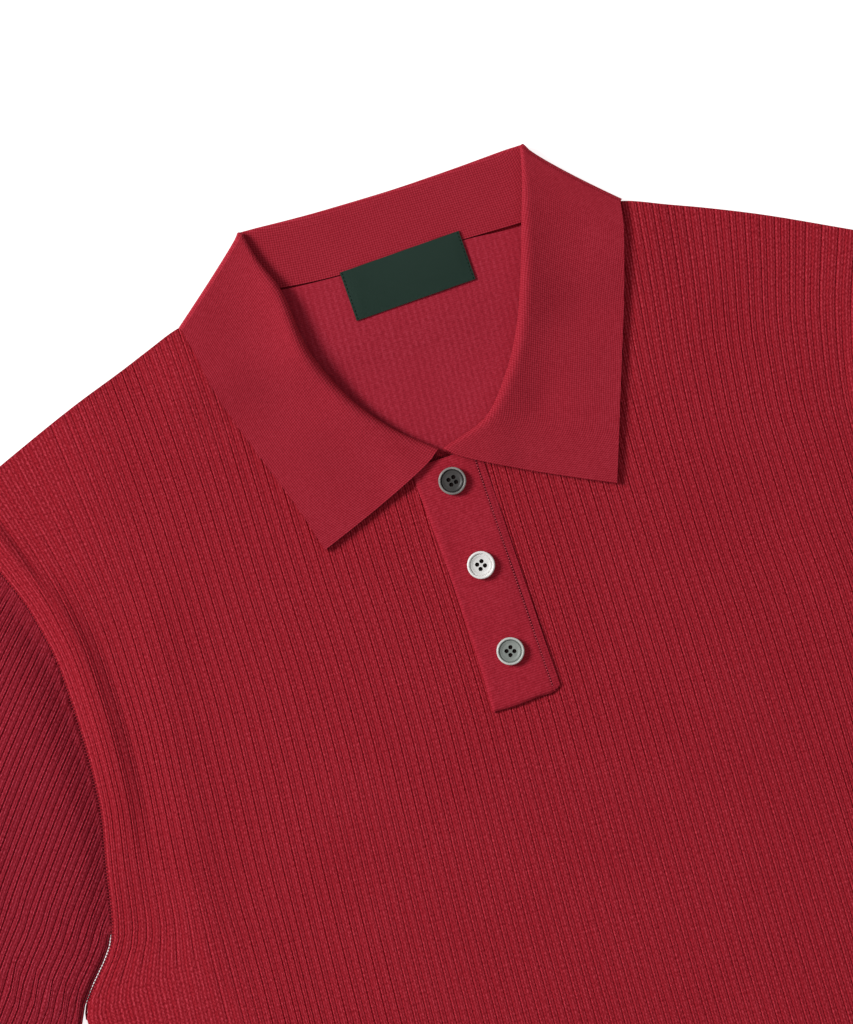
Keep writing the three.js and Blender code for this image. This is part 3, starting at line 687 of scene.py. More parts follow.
def collar_section(row, turn):
    """One row of the collar's middle surface, from the neck seam over the roll to the free edge.

    turn is the angle from the stand to the fall: a right angle on the front, minus a right angle on the back,
    and between them where the collar goes round the side of the neck.
    """
    seam, roll, edge = (np.array([row[f"{n}_x"], row[f"{n}_y"]]) for n in ("seam", "roll", "edge"))
    away = unit(2 * roll - seam - edge)
    centre = roll - away * (row["radius"] + WALL / 2)
    on_front, round_share = turn > math.pi / 2 - 1e-6, math.cos(turn)
    stand_radius, fall_radius = LEVEL / 2, LEVEL * 1.5

    def out_by(radius):
        return (round_share - row["corner"]) * radius * EDGE_SQUASH - row["corner"] * WALL / 2

    stand_out = sideways_from(seam, roll, row["side"]) * out_by(stand_radius)
    fall_out = sideways_from(centre, edge, row["side"]) * out_by(fall_radius)

    def stand_z(p):
        if on_front:
            return LEVEL + WALL / 2 + lift_at(*p) + STAND_CLEARANCE
        return CORE_Z + math.sin(turn) * stand_radius

    def fall_z(p):
        if on_front:
            return LEVEL * 2 + WALL / 2 + lift_at(*p) + FALL_CLEARANCE + placket_lift(*p)
        return CORE_Z + math.sin(turn) * fall_radius

    points = []
    roll_z = max(stand_z(centre), fall_z(centre) - 2 * row["radius"] if on_front else 0)
    for t in np.linspace(0, 1, STAND_STEPS + 1):
        p = mix(seam, centre, t) + stand_out
        points.append((*p, mix(stand_z(p), roll_z, t) if on_front else stand_z(p)))
    stand_end = np.array(points[-1])
    fall_start = centre + fall_out
    fall_start_z = roll_z + 2 * row["radius"] if on_front else fall_z(centre)
    for t in np.linspace(0, 1, ROLL_STEPS + 1)[1:-1]:
        share = (1 - math.cos(math.pi * t)) / 2
        p = mix(stand_end[:2], fall_start, share) + away * math.sin(math.pi * t) * row["radius"]
        points.append((*p, mix(stand_end[2], fall_start_z, share)))
    bow_out = sideways_from(centre, edge, row["side"]) * row["bow"]
    if bow_out[1] > 0:
        bow_out = -bow_out
    for t in np.linspace(0, 1, FALL_STEPS + 1):
        p = mix(fall_start, edge + fall_out, t) + bow_out * 3 * math.sqrt(t) * (1 - t)
        settle = max(0, 1 - t / 0.6) ** 2 if on_front else 0
        shaped = leaf_shape(*p) * math.sin(math.pi * min(1, t * 1.02)) if on_front else 0
        points.append((*p, mix(fall_z(p), fall_start_z, settle) + shaped))
    return points


def collar_stops():
    """Places along the collar, in rows of its table, each with the turn from stand to fall there."""
    front, swing = math.pi / 2, np.linspace(math.pi / 2, -math.pi / 2, 9)[1:-1]
    stops = [(stop, front) for stop in np.linspace(0, LEFT_CORNER, 61)]
    stops += [(LEFT_CORNER, turn) for turn in swing]
    stops += [(stop, -front) for stop in np.linspace(LEFT_CORNER, RIGHT_CORNER, 55)]
    stops += [(RIGHT_CORNER, turn) for turn in swing[::-1]]
    stops += [(stop, front) for stop in np.linspace(RIGHT_CORNER, LAST_ROW, 71)]
    return stops


def collar_mesh():
    """The whole collar: a sheet through its sections."""
    numbers = np.arange(LAST_ROW + 1)
    sections = []
    for stop, turn in collar_stops():
        row = {name: float(curve(numbers, values, stop)) for name, values in COLLAR.items()}
        row["side"] = -1 if stop < (LEFT_CORNER + RIGHT_CORNER) / 2 else 1
        sections.append(collar_section(row, turn))
    middle = np.array(sections)
    half = np.full(middle.shape[:2] + (2,), WALL / 2)
    one, other = thickened(middle, half, False)
    # The knit's own coordinates: along the roll line, and across from the neck seam.
    roll_line = middle[:, STAND_STEPS + 6]
    steps_along = np.linalg.norm(np.diff(roll_line, axis=0), axis=1)
    steps_across = np.linalg.norm(np.diff(middle, axis=1), axis=2)
    along = np.append(0, np.cumsum(steps_along))
    across = np.hstack([np.zeros((len(middle), 1)), np.cumsum(steps_across, axis=1)])

    def place(column, row, upper):
        points = np.where(upper[:, None], one[row, column], other[row, column])
        points[:, 2] = np.maximum(points[:, 2], 0)
        return points, np.stack([along[row], across[row, column]], 1)

    return sheet_mesh("collar_knit", middle.shape[1] - 1, middle.shape[0] - 1, place)


# ---- placket, buttons and label ------------------------------------------------------------------


def placket_point(across, up):
    """Plan point of the placket's own frame, whose centre line leans a little."""
    lean = PLACKET["lean"]
    return PLACKET["x"] + across - lean * up, up + lean * across


def placket_mesh():
    """The top strip, with rounded edges, a groove for its linking and soft dips under the buttons."""
    column_count, row_count = 72, 96
    half = PLACKET["half"]
    across = np.linspace(-half, half, column_count + 1)
    up = np.linspace(0, 1, row_count + 1)

    def place(column, row, upper):
        a = across[column]
        # The strip's free end has a soft corner on its right and a slight wave.
        end = PLACKET["bottom"] + 3.2 * np.clip((a - 11.5) / 6.5, 0, 1) ** 2 + 0.35 * np.sin(a / 4)
        u = mix(end, PLACKET["top"] - GAP, up[row])
        narrowed = curve([-72, -40, 0, 40, 57], [1, 0.928, 0.917, 0.978, 1.01], u)
        wide = np.where(a < 0, a * narrowed, a)
        x, y = placket_point(wide, u)
        edge = np.minimum(half - np.abs(a), u - end)
        rounded = 0.7 * np.exp(-((edge / 0.9) ** 2))
        groove = sum(0.35 * np.exp(-(((wide - LINKING - away) / 0.5) ** 2)) for away in (0, 1.35, 2.5))
        slope = 0.55 * smooth((wide - 5) / 13)
        pull = sum(-0.3 * np.exp(-(((u - b) / 7) ** 2) - (wide / 8) ** 2) for b in BUTTON_Y.values())
        on_sides = smooth((np.abs(wide) - 8) / 6) * smooth((half - np.abs(wide)) / 5)
        soft = 0.25 * np.sin(u / 11) * on_sides
        top = PLACKET["thick"] - rounded - groove - slope + pull + soft
        z = LEVEL * 2 + np.where(upper, np.maximum(top, 0.35), 0.1 * rounded)
        return np.stack([x, y, z], 1), np.stack([wide, u], 1)

    return sheet_mesh("placket_top_knit", column_count, row_count, place)


def under_placket_mesh():
    """The plain strip inside the slit."""
    column_count, row_count = 20, 60

    def place(column, row, upper):
        wide = (column / column_count * 2 - 1) * (SLIT["half"] - GAP)
        u = mix(SLIT["bottom"] + GAP, PLACKET["top"] - GAP, row / row_count)
        x, y = placket_point(wide, u)
        return np.stack([x, y, np.where(upper, LEVEL + WALL, LEVEL)], 1), np.stack([wide, u], 1)

    return sheet_mesh("placket_under_knit", column_count, row_count, place)


def label_point(across, up):
    """Plan point of the label's own frame, whose middle is the label's."""
    s, c = math.sin(math.radians(LABEL["turned"])), math.cos(math.radians(LABEL["turned"]))
    return LABEL["x"] + across * c - up * s, LABEL["y"] + across * s + up * c


def label_mesh():
    """The label's tape, bowed a little between its tacked ends."""
    column_count, row_count = 60, 26

    def place(column, row, upper):
        a = (column / column_count - 0.5) * LABEL["width"]
        b = (row / row_count - 0.5) * LABEL["height"]
        x, y = label_point(a, b)
        bow = 0.35 * np.cos(np.pi * b / LABEL["height"]) + 0.2 * np.sin(a / 9)
        ends = smooth((LABEL["width"] / 2 - np.abs(a)) / 5)
        z = LEVEL * 2 + np.where(upper, LABEL["thick"] * 0.8, 0) + bow * ends
        return np.stack([x, y, z], 1), np.stack([a, b], 1)

    return sheet_mesh("label_tape", column_count, row_count, place)


def armhole_linking_mesh(side):
    """The linked seam that fills the valley between body and sleeve."""
    row_count = 80
    heights = np.linspace(UNDERARM_Y, SHOULDER[side][1] - 1, row_count + 1)
    edge = side_edge(side == "left", heights)

    def place(column, row, upper):
        x = SIGN[side] * (edge[row] + GAP / 2 + (column - 1) * 0.45)
        z = np.where(upper, 3.3 - 0.8 * np.abs(column - 1), 0.2)
        return np.stack([x, heights[row], z], 1), np.stack([column * 0.4, heights[row]], 1)

    return sheet_mesh(f"armhole_linking_{side}", 2, row_count, place)


def stitch_mesh(name, path, height, pitch, length, width, turned=0.0):
    """A row of small stitches along a path of plan points, each turned from it by an angle in degrees."""
    path = np.array(path, float)
    steps = np.diff(path, axis=0)
    along = np.append(0, np.cumsum(np.linalg.norm(steps, axis=1)))
    mesh_edit = bmesh.new()
    for stop in np.linspace(0, along[-1], int(along[-1] / pitch) + 1):
        x, y = (np.interp(stop, along, path[:, axis]) + OFFSET[axis] for axis in (0, 1))
        step = steps[min(np.searchsorted(along, stop, side="right"), len(steps)) - 1]
        angle = math.atan2(step[1], step[0]) + math.radians(turned)
        place = Matrix.Scale(0.001, 4) @ Matrix.Translation((x, y, height)) @ Matrix.Rotation(angle, 4, "Z")
        place = place @ Matrix.Diagonal((length / 2, width / 2, 0.25, 1))
        bmesh.ops.create_uvsphere(mesh_edit, u_segments=6, v_segments=5, radius=1, matrix=place)
    mesh = finished(mesh_edit, name)
    mesh.polygons.foreach_set("use_smooth", [True] * len(mesh.polygons))
    return mesh


def pegs_mesh(name, turned, radius, low, high):
    """Four pegs where a button's holes are."""
    mesh_edit = bmesh.new()
    for quarter in range(4):
        angle = math.radians(turned + 90 * quarter)
        x, y = HOLE_CIRCLE * math.cos(angle), HOLE_CIRCLE * math.sin(angle)
        bmesh.ops.create_cone(
            mesh_edit,
            cap_ends=True,
            segments=16,
            radius1=radius,
            radius2=radius,
            depth=high - low,
            matrix=Matrix.Translation((x, y, (low + high) / 2)),
        )
    return finished(mesh_edit, name)


def drilled(disc, pegs, name):
    """The disc with the pegs cut out of it."""
    blank, drill = (bpy.data.objects.new(mesh.name, mesh) for mesh in (disc, pegs))
    for each in (blank, drill):
        bpy.context.scene.collection.objects.link(each)
    holes = blank.modifiers.new("holes", "BOOLEAN")
    holes.object, holes.operation, holes.solver = drill, "DIFFERENCE", "EXACT"
    bpy.context.view_layer.update()
    mesh = bpy.data.meshes.new_from_object(blank.evaluated_get(bpy.context.evaluated_depsgraph_get()))
    for each in (blank, drill):
        bpy.data.objects.remove(each)
    for used in (disc, pegs):
        bpy.data.meshes.remove(used)
    mesh.name = name
    return mesh


def button_mesh(name, middle, turned):
    """A turned disc with a raised rim, a ringed well and four drilled holes with thread in them.

    Its material slots are the well, the rim and the thread.
    """
    mesh_edit = bmesh.new()
    corners = [mesh_edit.verts.new((radius, 0, height)) for radius, height in BUTTON_OUTLINE]
    edges = [mesh_edit.edges.new(pair) for pair in zip(corners, corners[1:])]
    bmesh.ops.spin(
        mesh_edit,
        geom=corners + edges,
        cent=(0, 0, 0),
        axis=(0, 0, 1),
        angle=2 * math.pi,
        steps=48,
        use_merge=True,
    )
    bmesh.ops.remove_doubles(mesh_edit, verts=mesh_edit.verts, dist=1e-4)
    bmesh.ops.recalc_face_normals(mesh_edit, faces=mesh_edit.faces)
    disc = finished(mesh_edit, f"{name}_disc")
    mesh = drilled(disc, pegs_mesh(f"{name}_drill", turned, HOLE_RADIUS, -2, 4), name)
    for face in mesh.polygons:
        on_rim = math.hypot(face.center.x, face.center.y) > RIM_FROM
        face.material_index = int(on_rim or face.center.z < 1)
    threads = pegs_mesh(f"{name}_threads", turned, THREAD_RADIUS, 0.1, 0.75)
    for face in threads.polygons:
        face.material_index = 2
    mesh_edit = bmesh.new()
    mesh_edit.from_mesh(mesh)
    mesh_edit.from_mesh(threads)
    mesh_edit.to_mesh(mesh)
    mesh_edit.free()
    bpy.data.meshes.remove(threads)
    mesh.transform(Matrix.Translation(middle) @ Matrix.Scale(0.001, 4))
    mesh.polygons.foreach_set("use_smooth", [True] * len(mesh.polygons))
    mesh.set_sharp_from_angle(angle=math.radians(40))
    return mesh


# ---- materials -----------------------------------------------------------------------------------


def linear(code):
    """Linear colour of an sRGB hex value."""
    shares = [int(code[i : i + 2], 16) / 255 for i in (1, 3, 5)]
    return [s / 12.92 if s <= 0.04045 else ((s + 0.055) / 1.055) ** 2.4 for s in shares] + [1.0]


def add_node(tree, kind, inputs=None, **settings):
    """Adds a node with its settings; inputs holds values or the sockets that feed it."""
    node = tree.nodes.new(kind)
    for name, value in settings.items():
        setattr(node, name, value)
    for key, value in (inputs or {}).items():
        if isinstance(value, bpy.types.NodeSocket):
            tree.links.new(value, node.inputs[key])
        else:
            node.inputs[key].default_value = value
    return node


def start_material(name, **shader_values):
    """A new material with values for its Principled shader."""
    material = bpy.data.materials.new(name)
    material.use_nodes = True
    tree = material.node_tree
    shader = tree.nodes["Principled BSDF"]
    for key, value in shader_values.items():
        shader.inputs[key.replace("_", " ")].default_value = value
    return material, tree, shader


def set_ramp(node, *stops):
    """Sets a ramp's grey stops, from position 0 to position 1."""
    elements = node.color_ramp.elements
    for position, value in stops:
        element = {0: elements[0], 1: elements[-1]}.get(position) or elements.new(position)
        element.color = (value, value, value, 1)


def shaded_wool(tree, shader, colour, shade):
    """Colours the wool: deep where shade is low, the plain colour at 1, and paler above that."""
    half = add_node(tree, "ShaderNodeMath", {0: shade, 1: 0.5}, operation="MULTIPLY")
    tone = add_node(tree, "ShaderNodeValToRGB", {0: half.outputs[0]})
    elements = tone.color_ramp.elements
    # In the rib, the deep end carries the painted shade of the furrows and the pale end the painted light of
    # the wales' crests.
    elements[0].color = [c * k for c, k in zip(colour, (0.3, 0.0, 0.1, 1.0))]
    elements[-1].color = [c * k for c, k in zip(colour, (1.7, 3.6, 3.2, 1.0))]
    elements.new(0.5).color = colour
    tree.links.new(tone.outputs["Color"], shader.inputs["Base Color"])


def start_wool(name):
    """Dull combed wool: hardly any gloss, with a faint fuzz of its own colour."""
    material, tree, shader = start_material(
        name, Roughness=0.9, Sheen_Weight=0.06, Sheen_Roughness=0.5, Specular_IOR_Level=0.04
    )
    shader.inputs["Sheen Tint"].default_value = (0.9, 0.2, 0.25, 1)
    pattern = add_node(tree, "ShaderNodeUVMap", uv_map="knit")
    split = add_node(tree, "ShaderNodeSeparateXYZ", {0: pattern.outputs["UV"]})
    return material, tree, shader, split


def wool_drift(tree, size_mm):
    """Slight drift of the dye from one patch of wool to the next, in patches of a real size."""
    place = add_node(tree, "ShaderNodeTexCoord")
    patches = add_node(
        tree,
        "ShaderNodeTexNoise",
        {"Vector": place.outputs["Object"], "Scale": 1000 / size_mm, "Detail": 1.0},
    )
    drift = add_node(
        tree,
        "ShaderNodeMapRange",
        {"Value": patches.outputs["Fac"], "From Min": 0.3, "From Max": 0.7, "To Min": 0.97, "To Max": 1.03},
    )
    return drift.outputs[0]


def rib_knit(name, colour):
    """Wool rib: slim loops in wales of 1.3 mm, with two furrows in every repeat of 6.5 mm that are painted
    darker as shade.
    """
    material, tree, shader, split = start_wool(name)
    repeats, length = split.outputs["X"], split.outputs["Y"]
    share = add_node(tree, "ShaderNodeMath", {0: repeats}, operation="FRACT")
    # This ramp paints shade into the rib's furrows and light onto its wales.
    painted_rib_shading = add_node(tree, "ShaderNodeValToRGB", {0: share.outputs[0]})
    set_ramp(painted_rib_shading, *RIB_PAINTED_LIGHT_AND_SHADE)
    # Each wale's loops lean from both sides to its middle. A wale is a fifth of a repeat. The loops are drawn
    # 1.6 mm long, where real ones are about 1 mm, so that they show.
    wale = add_node(tree, "ShaderNodeMath", {0: repeats, 1: 0.1}, operation="PINGPONG")
    lean = add_node(tree, "ShaderNodeMath", {0: wale.outputs[0], 1: 6.0}, operation="MULTIPLY")
    course = add_node(
        tree, "ShaderNodeMath", {0: length, 1: LOOPS_PER_MM, 2: lean.outputs[0]}, operation="MULTIPLY_ADD"
    )
    angle = add_node(tree, "ShaderNodeMath", {0: course.outputs[0], 1: math.tau}, operation="MULTIPLY")
    loop = add_node(tree, "ShaderNodeMath", {0: angle.outputs[0]}, operation="SINE")
    # Tufts of fibre run with the wales, about 0.5 mm wide and 1.4 mm long.
    across = add_node(tree, "ShaderNodeMath", {0: repeats, 1: 14.0}, operation="MULTIPLY")
    along = add_node(tree, "ShaderNodeMath", {0: length, 1: 0.7}, operation="MULTIPLY")
    tuft_place = add_node(tree, "ShaderNodeCombineXYZ", {0: across.outputs[0], 1: along.outputs[0]})
    tuft = add_node(
        tree, "ShaderNodeTexNoise", {"Vector": tuft_place.outputs[0], "Scale": 1.0, "Detail": 0.6}
    )
    loops_on_tufts = {0: loop.outputs[0], 1: 0.07, 2: tuft.outputs["Fac"]}
    height = add_node(tree, "ShaderNodeMath", loops_on_tufts, operation="MULTIPLY_ADD")
    light = add_node(
        tree,
        "ShaderNodeMapRange",
        {"Value": height.outputs[0], "From Min": 0.25, "From Max": 0.75, "To Min": 0.52, "To Max": 1.5},
    )
    lit = add_node(
        tree, "ShaderNodeMath", {0: painted_rib_shading.outputs["Color"], 1: light.outputs[0]}, operation="MULTIPLY"
    )
    shade = add_node(
        tree, "ShaderNodeMath", {0: lit.outputs[0], 1: wool_drift(tree, size_mm=45)}, operation="MULTIPLY"
    )
    shaded_wool(tree, shader, colour, shade.outputs[0])
    bump = add_node(
        tree, "ShaderNodeBump", {"Height": height.outputs[0], "Strength": 0.5, "Distance": 0.0004}
    )
    tree.links.new(bump.outputs[0], shader.inputs["Normal"])
    return material


def fine_knit(name, colour, pitches, contrast=0.17):
    """Close flat knit: small loops in fine lines across one or both of the pattern's directions.

    pitches holds the spacing of the lines in the pattern's own units: millimetres, but repeats of the rib
    across a panel or a sleeve. The loops are drawn 1 mm and more apart, so that they show.
    """
    material, tree, shader, split = start_wool(name)
    place = add_node(tree, "ShaderNodeTexCoord")
    fibres = add_node(
        tree,
        "ShaderNodeTexNoise",
        {"Vector": place.outputs["Object"], "Scale": 1000 / FIBRE_GRAIN, "Detail": 2.0},
    )
    height = fibres.outputs["Fac"]
    for direction, pitch in pitches.items():
        turn = add_node(
            tree, "ShaderNodeMath", {0: split.outputs[direction], 1: math.tau / pitch}, operation="MULTIPLY"
        )
        wave = add_node(tree, "ShaderNodeMath", {0: turn.outputs[0]}, operation="SINE")
        lines_on_fibres = {0: wave.outputs[0], 1: contrast, 2: height}
        lines = add_node(tree, "ShaderNodeMath", lines_on_fibres, operation="MULTIPLY_ADD")
        height = lines.outputs[0]
    light = add_node(
        tree,
        "ShaderNodeMapRange",
        {"Value": height, "From Min": 0.2, "From Max": 0.8, "To Min": 0.7, "To Max": 1.3},
    )
    shade = add_node(
        tree, "ShaderNodeMath", {0: light.outputs[0], 1: wool_drift(tree, size_mm=30)}, operation="MULTIPLY"
    )
    shaded_wool(tree, shader, colour, shade.outputs[0])
    bump = add_node(tree, "ShaderNodeBump", {"Height": height, "Strength": 0.6, "Distance": 0.00025})
    tree.links.new(bump.outputs[0], shader.inputs["Normal"])
    return material


def yarn(name, code):
    """Plied yarn of a linked or sewn line: dull, with a twist of 0.6 mm."""
    material, tree, shader = start_material(name, Roughness=0.9, Specular_IOR_Level=0.04)
    place = add_node(tree, "ShaderNodeTexCoord")
    twist = add_node(
        tree,
        "ShaderNodeTexNoise",
        {"Vector": place.outputs["Object"], "Scale": 1000 / 0.6, "Detail": 2.0},
    )
    light = add_node(
        tree,
        "ShaderNodeMapRange",
        {"Value": twist.outputs["Fac"], "From Min": 0.3, "From Max": 0.7, "To Min": 0.75, "To Max": 1.2},
    )
    tint = add_node(
        tree, "ShaderNodeVectorMath", {0: linear(code)[:3], "Scale": light.outputs[0]}, operation="SCALE"
    )
    tree.links.new(tint.outputs[0], shader.inputs["Base Color"])
    return material


def woven_tape(name, colour):
    """Damask label tape: fine threads with a dull satin shine.

    They are drawn 0.5 and 0.4 mm apart, coarser than real ones, so that they show.
    """
    material, tree, shader = start_material(name, Roughness=0.6, Specular_IOR_Level=0.15)
    pattern = add_node(tree, "ShaderNodeUVMap", uv_map="knit")
    weft, warp = (
        add_node(
            tree,
            "ShaderNodeTexWave",
            {"Vector": pattern.outputs["UV"], "Scale": scale, "Distortion": 0.4},
            bands_direction=direction,
        )
        for scale, direction in ((0.6, "Y"), (0.8, "X"))
    )
    threads = {0: weft.outputs["Fac"], 1: 0.5, 2: warp.outputs["Fac"]}
    height = add_node(tree, "ShaderNodeMath", threads, operation="MULTIPLY_ADD")
    light = add_node(
        tree,
        "ShaderNodeMapRange",
        {"Value": height.outputs[0], "From Max": 1.5, "To Min": 0.75, "To Max": 1.25},
    )
    tint = add_node(
        tree, "ShaderNodeVectorMath", {0: colour[:3], "Scale": light.outputs[0]}, operation="SCALE"
    )
    tree.links.new(tint.outputs[0], shader.inputs["Base Color"])
    bump = add_node(
        tree, "ShaderNodeBump", {"Height": height.outputs[0], "Strength": 0.4, "Distance": 0.0002}
    )
    tree.links.new(bump.outputs[0], shader.inputs["Normal"])
    return material


def polished_shell(name, dark, pale):
    """Polished shell: cloudy layers of two tones, 5 mm across, under a smooth, slightly wet surface."""
    material, tree, shader = start_material(name, Roughness=0.42, Coat_Weight=0.15, Coat_Roughness=0.3)
    place = add_node(tree, "ShaderNodeTexCoord")
    clouds = add_node(
        tree, "ShaderNodeTexNoise", {"Vector": place.outputs["Object"], "Scale": 1000 / 5, "Detail": 3.0}
    )
    tone = add_node(
        tree, "ShaderNodeMix", {0: clouds.outputs["Fac"], 6: dark, 7: pale}, data_type="RGBA"
    )
    tree.links.new(tone.outputs[2], shader.inputs["Base Color"])
    return material


# ---- what a user can change ----------------------------------------------------------------------


def colour_property(name, description, code):
    """A colour that a user can change, from its sRGB hex value."""
    return FloatVectorProperty(
        name=name, description=description, subtype="COLOR", size=4, min=0, max=1, default=linear(code)
    )


class SweaterSizes(bpy.types.PropertyGroup):
    rib_relief: FloatProperty(
        name="Rib relief",
        description="Depth of the ribs, as a share of the pattern's own",
        default=1.0,
        min=0,
        max=1.5,
        subtype="FACTOR",
    )
    key_width: FloatProperty(
        name="Key light width", description="Width of the soft key light", default=1.26, unit="LENGTH"
    )
    camera_height: FloatProperty(
        name="Camera height", description="Height of the camera above the garment", default=2.6, unit="LENGTH"
    )


class SweaterColours(bpy.types.PropertyGroup):
    body: colour_property("Body", "Ribbed body panels", "#A5232F")
    # The sleeves' wool is the body's yarn, painted darker as shade.
    sleeve: colour_property("Sleeves", "Ribbed sleeves", "#992230")
    collar: colour_property("Collar", "Milano-knit collar", "#A52634")
    placket: colour_property("Placket", "Placket strips", "#A82534")
    inside: colour_property("Inside", "Inner face of the back panel", "#A82939")
    label: colour_property("Label", "Woven label", "#20362D")


class BuildOperator:
    """What all the operators share."""

    bl_options = {"REGISTER", "UNDO"}


class SWEATER_OT_front(BuildOperator, bpy.types.Operator):
    """Builds the ribbed front panel"""

    bl_idname = "sweater.front"
    bl_label = "Front panel"

    def execute(self, context):
        colours, sizes = context.scene.sweater_colours, context.scene.sweater_sizes
        rib = rib_knit("body_wool_rib", colours.body)
        plain = fine_knit("front_reverse_knit", colours.inside, {"Y": 1.0})
        mesh = panel_mesh("front_knit", True, sizes.rib_relief)
        piece = add_piece(mesh, [rib, plain, plain], "body_knit", "front")
        return {"FINISHED"}


class SWEATER_OT_back(BuildOperator, bpy.types.Operator):
    """Builds the ribbed back panel"""

    bl_idname = "sweater.back"
    bl_label = "Back panel"

    def execute(self, context):
        colours, sizes = context.scene.sweater_colours, context.scene.sweater_sizes
        rib = rib_knit("back_wool_rib", colours.body)
        plain = fine_knit("back_reverse_knit", colours.inside, {"X": 0.5, "Y": 1.0}, contrast=0.08)
        mesh = panel_mesh("back_knit", False, sizes.rib_relief)
        piece = add_piece(mesh, [plain, rib, plain], "body_knit", "back")
        return {"FINISHED"}


class SWEATER_OT_sleeves(BuildOperator, bpy.types.Operator):
    """Builds both ribbed sleeves"""

    bl_idname = "sweater.sleeves"
    bl_label = "Sleeves"

    def execute(self, context):
        colours, sizes = context.scene.sweater_colours, context.scene.sweater_sizes
        rib = rib_knit("sleeve_wool_rib", colours.sleeve)
        plain = fine_knit("sleeve_reverse_knit", colours.sleeve, {"X": 0.2, "Y": 1.0})
        # The linked seam is real, but its yarn is painted much darker than the wool as shade in the valley
        # between body and sleeve.
        thread, pale_thread = yarn("armhole_linking_shade_yarn", "#5E141E"), yarn("armhole_stitch_yarn", "#8C2532")
        for side in ("left", "right"):
            mesh = sleeve_mesh(side, sizes.rib_relief * SLEEVE_RIB)
            piece = add_piece(mesh, [rib, plain, plain], "sleeve_knit", f"sleeve_{side}")
            linking = add_piece(armhole_linking_mesh(side), [thread, thread, thread], "sleeve_knit")
            heights = np.linspace(UNDERARM_Y + 8, SHOULDER[side][1] - 2, 60)
            edge = SIGN[side] * (side_edge(side == "left", heights) + GAP / 2)
            seam = np.stack([edge, heights], 1)
            row = stitch_mesh(
                f"armhole_stitches_{side}", seam, height=3.6, pitch=1.6, length=2.2, width=0.7, turned=78
            )
            stitches = add_piece(row, [pale_thread], "sleeve_knit")
        return {"FINISHED"}


class SWEATER_OT_collar(BuildOperator, bpy.types.Operator):
    """Builds the rolled collar"""

    bl_idname = "sweater.collar"
    bl_label = "Collar"

    def execute(self, context):
        colour = context.scene.sweater_colours.collar
        knit = fine_knit("collar_milano_knit", colour, {"X": 1.15, "Y": 1.15}, contrast=0.26)
        piece = add_piece(collar_mesh(), [knit, knit, knit], "collar_knit", "collar")
        return {"FINISHED"}


class SWEATER_OT_placket(BuildOperator, bpy.types.Operator):
    """Builds both placket strips"""

    bl_idname = "sweater.placket"
    bl_label = "Placket"

    def execute(self, context):
        knit = fine_knit("placket_milano_knit", context.scene.sweater_colours.placket, {"Y": 1.2})
        top = add_piece(placket_mesh(), [knit, knit, knit], "placket_knit", "placket_top")
        # The pale loops are painted light on the linking yarn, and the dark gaps between them are painted
        # shade in the linking holes.
        for name, code, start in (("loops", "#C24C5A", 0.0), ("shaded_gaps", "#4A0A14", 0.7)):
            path = [placket_point(LINKING, up + start) for up in (-68.5, 53.5)]
            row = stitch_mesh(
                f"placket_linking_{name}", path, height=LEVEL * 2 + 0.9, pitch=1.4, length=0.85, width=0.8
            )
            add_piece(row, [yarn(f"placket_linking_yarn_{name}", code)], "placket_knit")
        under = add_piece(under_placket_mesh(), [knit, knit, knit], "placket_knit", "placket_under")
        return {"FINISHED"}


class SWEATER_OT_buttons(BuildOperator, bpy.types.Operator):
    """Builds the three buttons"""

    bl_idname = "sweater.buttons"
    bl_label = "Buttons"

    def execute(self, context):
        # For each button: its tone's name, the turn of its holes, and the colours of its well and rim.
        finishes = {
            "top": ("dark", -32, "#2C2A29", "#55514F", "#B5AEA9"),
            "middle": ("pale", -23, "#E2DEDA", "#FBF9F7", "#F4F1EE"),
            "bottom": ("grey", -17, "#737974", "#A7ACA6", "#F2EEEA"),
        }
        thread = yarn("button_sewing_thread", "#1C1414")
        for name, (tone, turned, dark, pale, rim) in finishes.items():
            low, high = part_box(f"button_{name}")
            middle = Vector(((low.x + high.x) / 2, (low.y + high.y) / 2, low.z))
            well = polished_shell(f"{tone}_shell_well", linear(dark), linear(pale))
            edge = polished_shell(f"{tone}_shell_rim", linear(pale), linear(rim))
            mesh = button_mesh(f"button_{name}_shell", middle, turned)
            add_piece(mesh, [well, edge, thread], f"button_{tone}", f"button_{name}")
        return {"FINISHED"}


class SWEATER_OT_label(BuildOperator, bpy.types.Operator):
    """Builds the bare woven label"""

    bl_idname = "sweater.label"
    bl_label = "Label"

    def execute(self, context):
        tape = woven_tape("label_damask_tape", context.scene.sweater_colours.label)
        piece = add_piece(label_mesh(), [tape, tape, tape], "label_weave", "label")
        thread = yarn("label_tacking_thread", "#0F1F18")
        for side, sign in SIGN.items():
            ends = [label_point(sign * (LABEL["width"] / 2 - 0.9), up) for up in (-11.8, 11.8)]
            row = stitch_mesh(f"label_tacks_{side}", ends, height=5.45, pitch=1.9, length=1.2, width=0.4)
            add_piece(row, [thread], "label_weave")
        return {"FINISHED"}


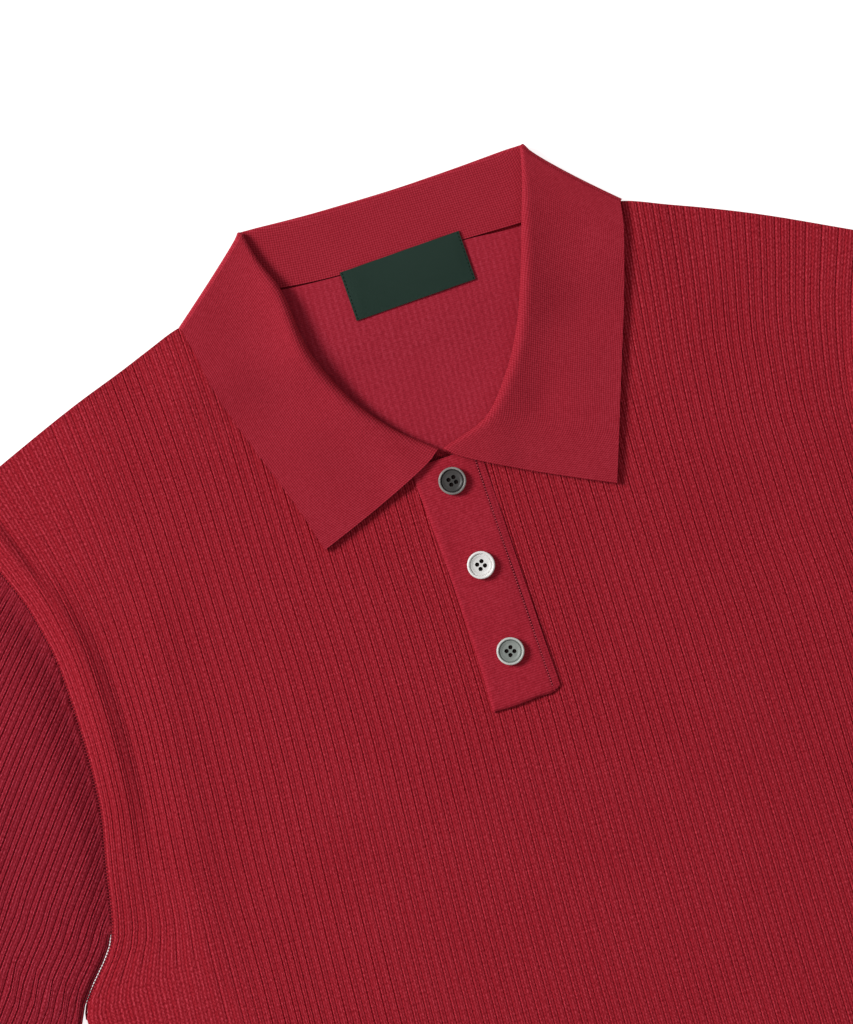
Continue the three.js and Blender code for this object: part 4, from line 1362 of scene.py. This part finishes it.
class SWEATER_OT_stage(BuildOperator, bpy.types.Operator):
    """Builds the floor, the lights and the camera"""

    bl_idname = "sweater.stage"
    bl_label = "Stage"

    def execute(self, context):
        scene, sizes = context.scene, context.scene.sweater_sizes
        mesh_edit = bmesh.new()
        bmesh.ops.create_grid(mesh_edit, x_segments=2, y_segments=2, size=6)
        floor = bpy.data.objects.new("floor", finished(mesh_edit, "floor"))
        floor.location.z = -0.0002
        scene.collection.objects.link(floor)
        # Matt white paper that glows a little, so that it stays evenly pale under the soft lights.
        paper, _, shader = start_material("white_paper", Roughness=0.9, Emission_Strength=0.84)
        shader.inputs["Base Color"].default_value = (0.5, 0.5, 0.5, 1)
        shader.inputs["Emission Color"].default_value = (1, 1, 1, 1)
        floor.data.materials.append(paper)

        target = (Vector(VIEW_CENTRE) + Vector(OFFSET)) / 1000
        # For each light: the way to it, its distance and width in metres, and its power in watts.
        for name, away, distance, width, power in (
            ("key", (-0.84, 0.54, 0.72), 4.2, sizes.key_width, 160),
            ("fill", (0.7, -0.5, 1.6), 3.2, 2.6, 4),
        ):
            data = bpy.data.lights.new(name, "AREA")
            data.size, data.energy = width, power
            light = bpy.data.objects.new(name, data)
            light.location = target + Vector(away).normalized() * distance
            light.rotation_euler = (target - light.location).to_track_quat("-Z", "Y").to_euler()
            scene.collection.objects.link(light)
        world = bpy.data.worlds.new("soft_room")
        world.use_nodes = True
        background = world.node_tree.nodes["Background"]
        background.inputs["Color"].default_value = (1, 1, 1, 1)
        background.inputs["Strength"].default_value = 0.27
        scene.world = world
        scene.view_settings.view_transform = "Standard"

        data = bpy.data.cameras.new("camera")
        data.lens = SENSOR * sizes.camera_height * 1000 / VIEW_LENGTH
        data.clip_end = 20
        camera = bpy.data.objects.new("camera", data)
        camera.location = target + Vector((0, 0, sizes.camera_height))
        camera.rotation_euler = (0, 0, VIEW_TURN)
        scene.collection.objects.link(camera)
        scene.camera = camera
        return {"FINISHED"}


class SWEATER_PT_panel(bpy.types.Panel):
    """Lists the sizes, the colours and the operators"""

    bl_label = "Sweater"
    bl_idname = "SWEATER_PT_panel"
    bl_space_type = "VIEW_3D"
    bl_region_type = "UI"
    bl_category = "Sweater"

    def draw(self, context):
        for group in (context.scene.sweater_sizes, context.scene.sweater_colours):
            for name in group.__annotations__:
                self.layout.prop(group, name)
        for operator in OPERATORS:
            self.layout.operator(operator.bl_idname)


OPERATORS = (
    SWEATER_OT_stage,
    SWEATER_OT_back,
    SWEATER_OT_front,
    SWEATER_OT_sleeves,
    SWEATER_OT_collar,
    SWEATER_OT_placket,
    SWEATER_OT_buttons,
    SWEATER_OT_label,
)
CLASSES = (SweaterSizes, SweaterColours, *OPERATORS, SWEATER_PT_panel)


def register():
    for each in CLASSES:
        bpy.utils.register_class(each)
    bpy.types.Scene.sweater_sizes = PointerProperty(type=SweaterSizes)
    bpy.types.Scene.sweater_colours = PointerProperty(type=SweaterColours)


def unregister():
    del bpy.types.Scene.sweater_colours
    del bpy.types.Scene.sweater_sizes
    for each in reversed(CLASSES):
        bpy.utils.unregister_class(each)


def main():
    """Builds the whole scene."""
    register()
    for operator in OPERATORS:
        getattr(bpy.ops.sweater, operator.bl_idname.split(".")[1])()


if __name__ == "__main__":
    main()
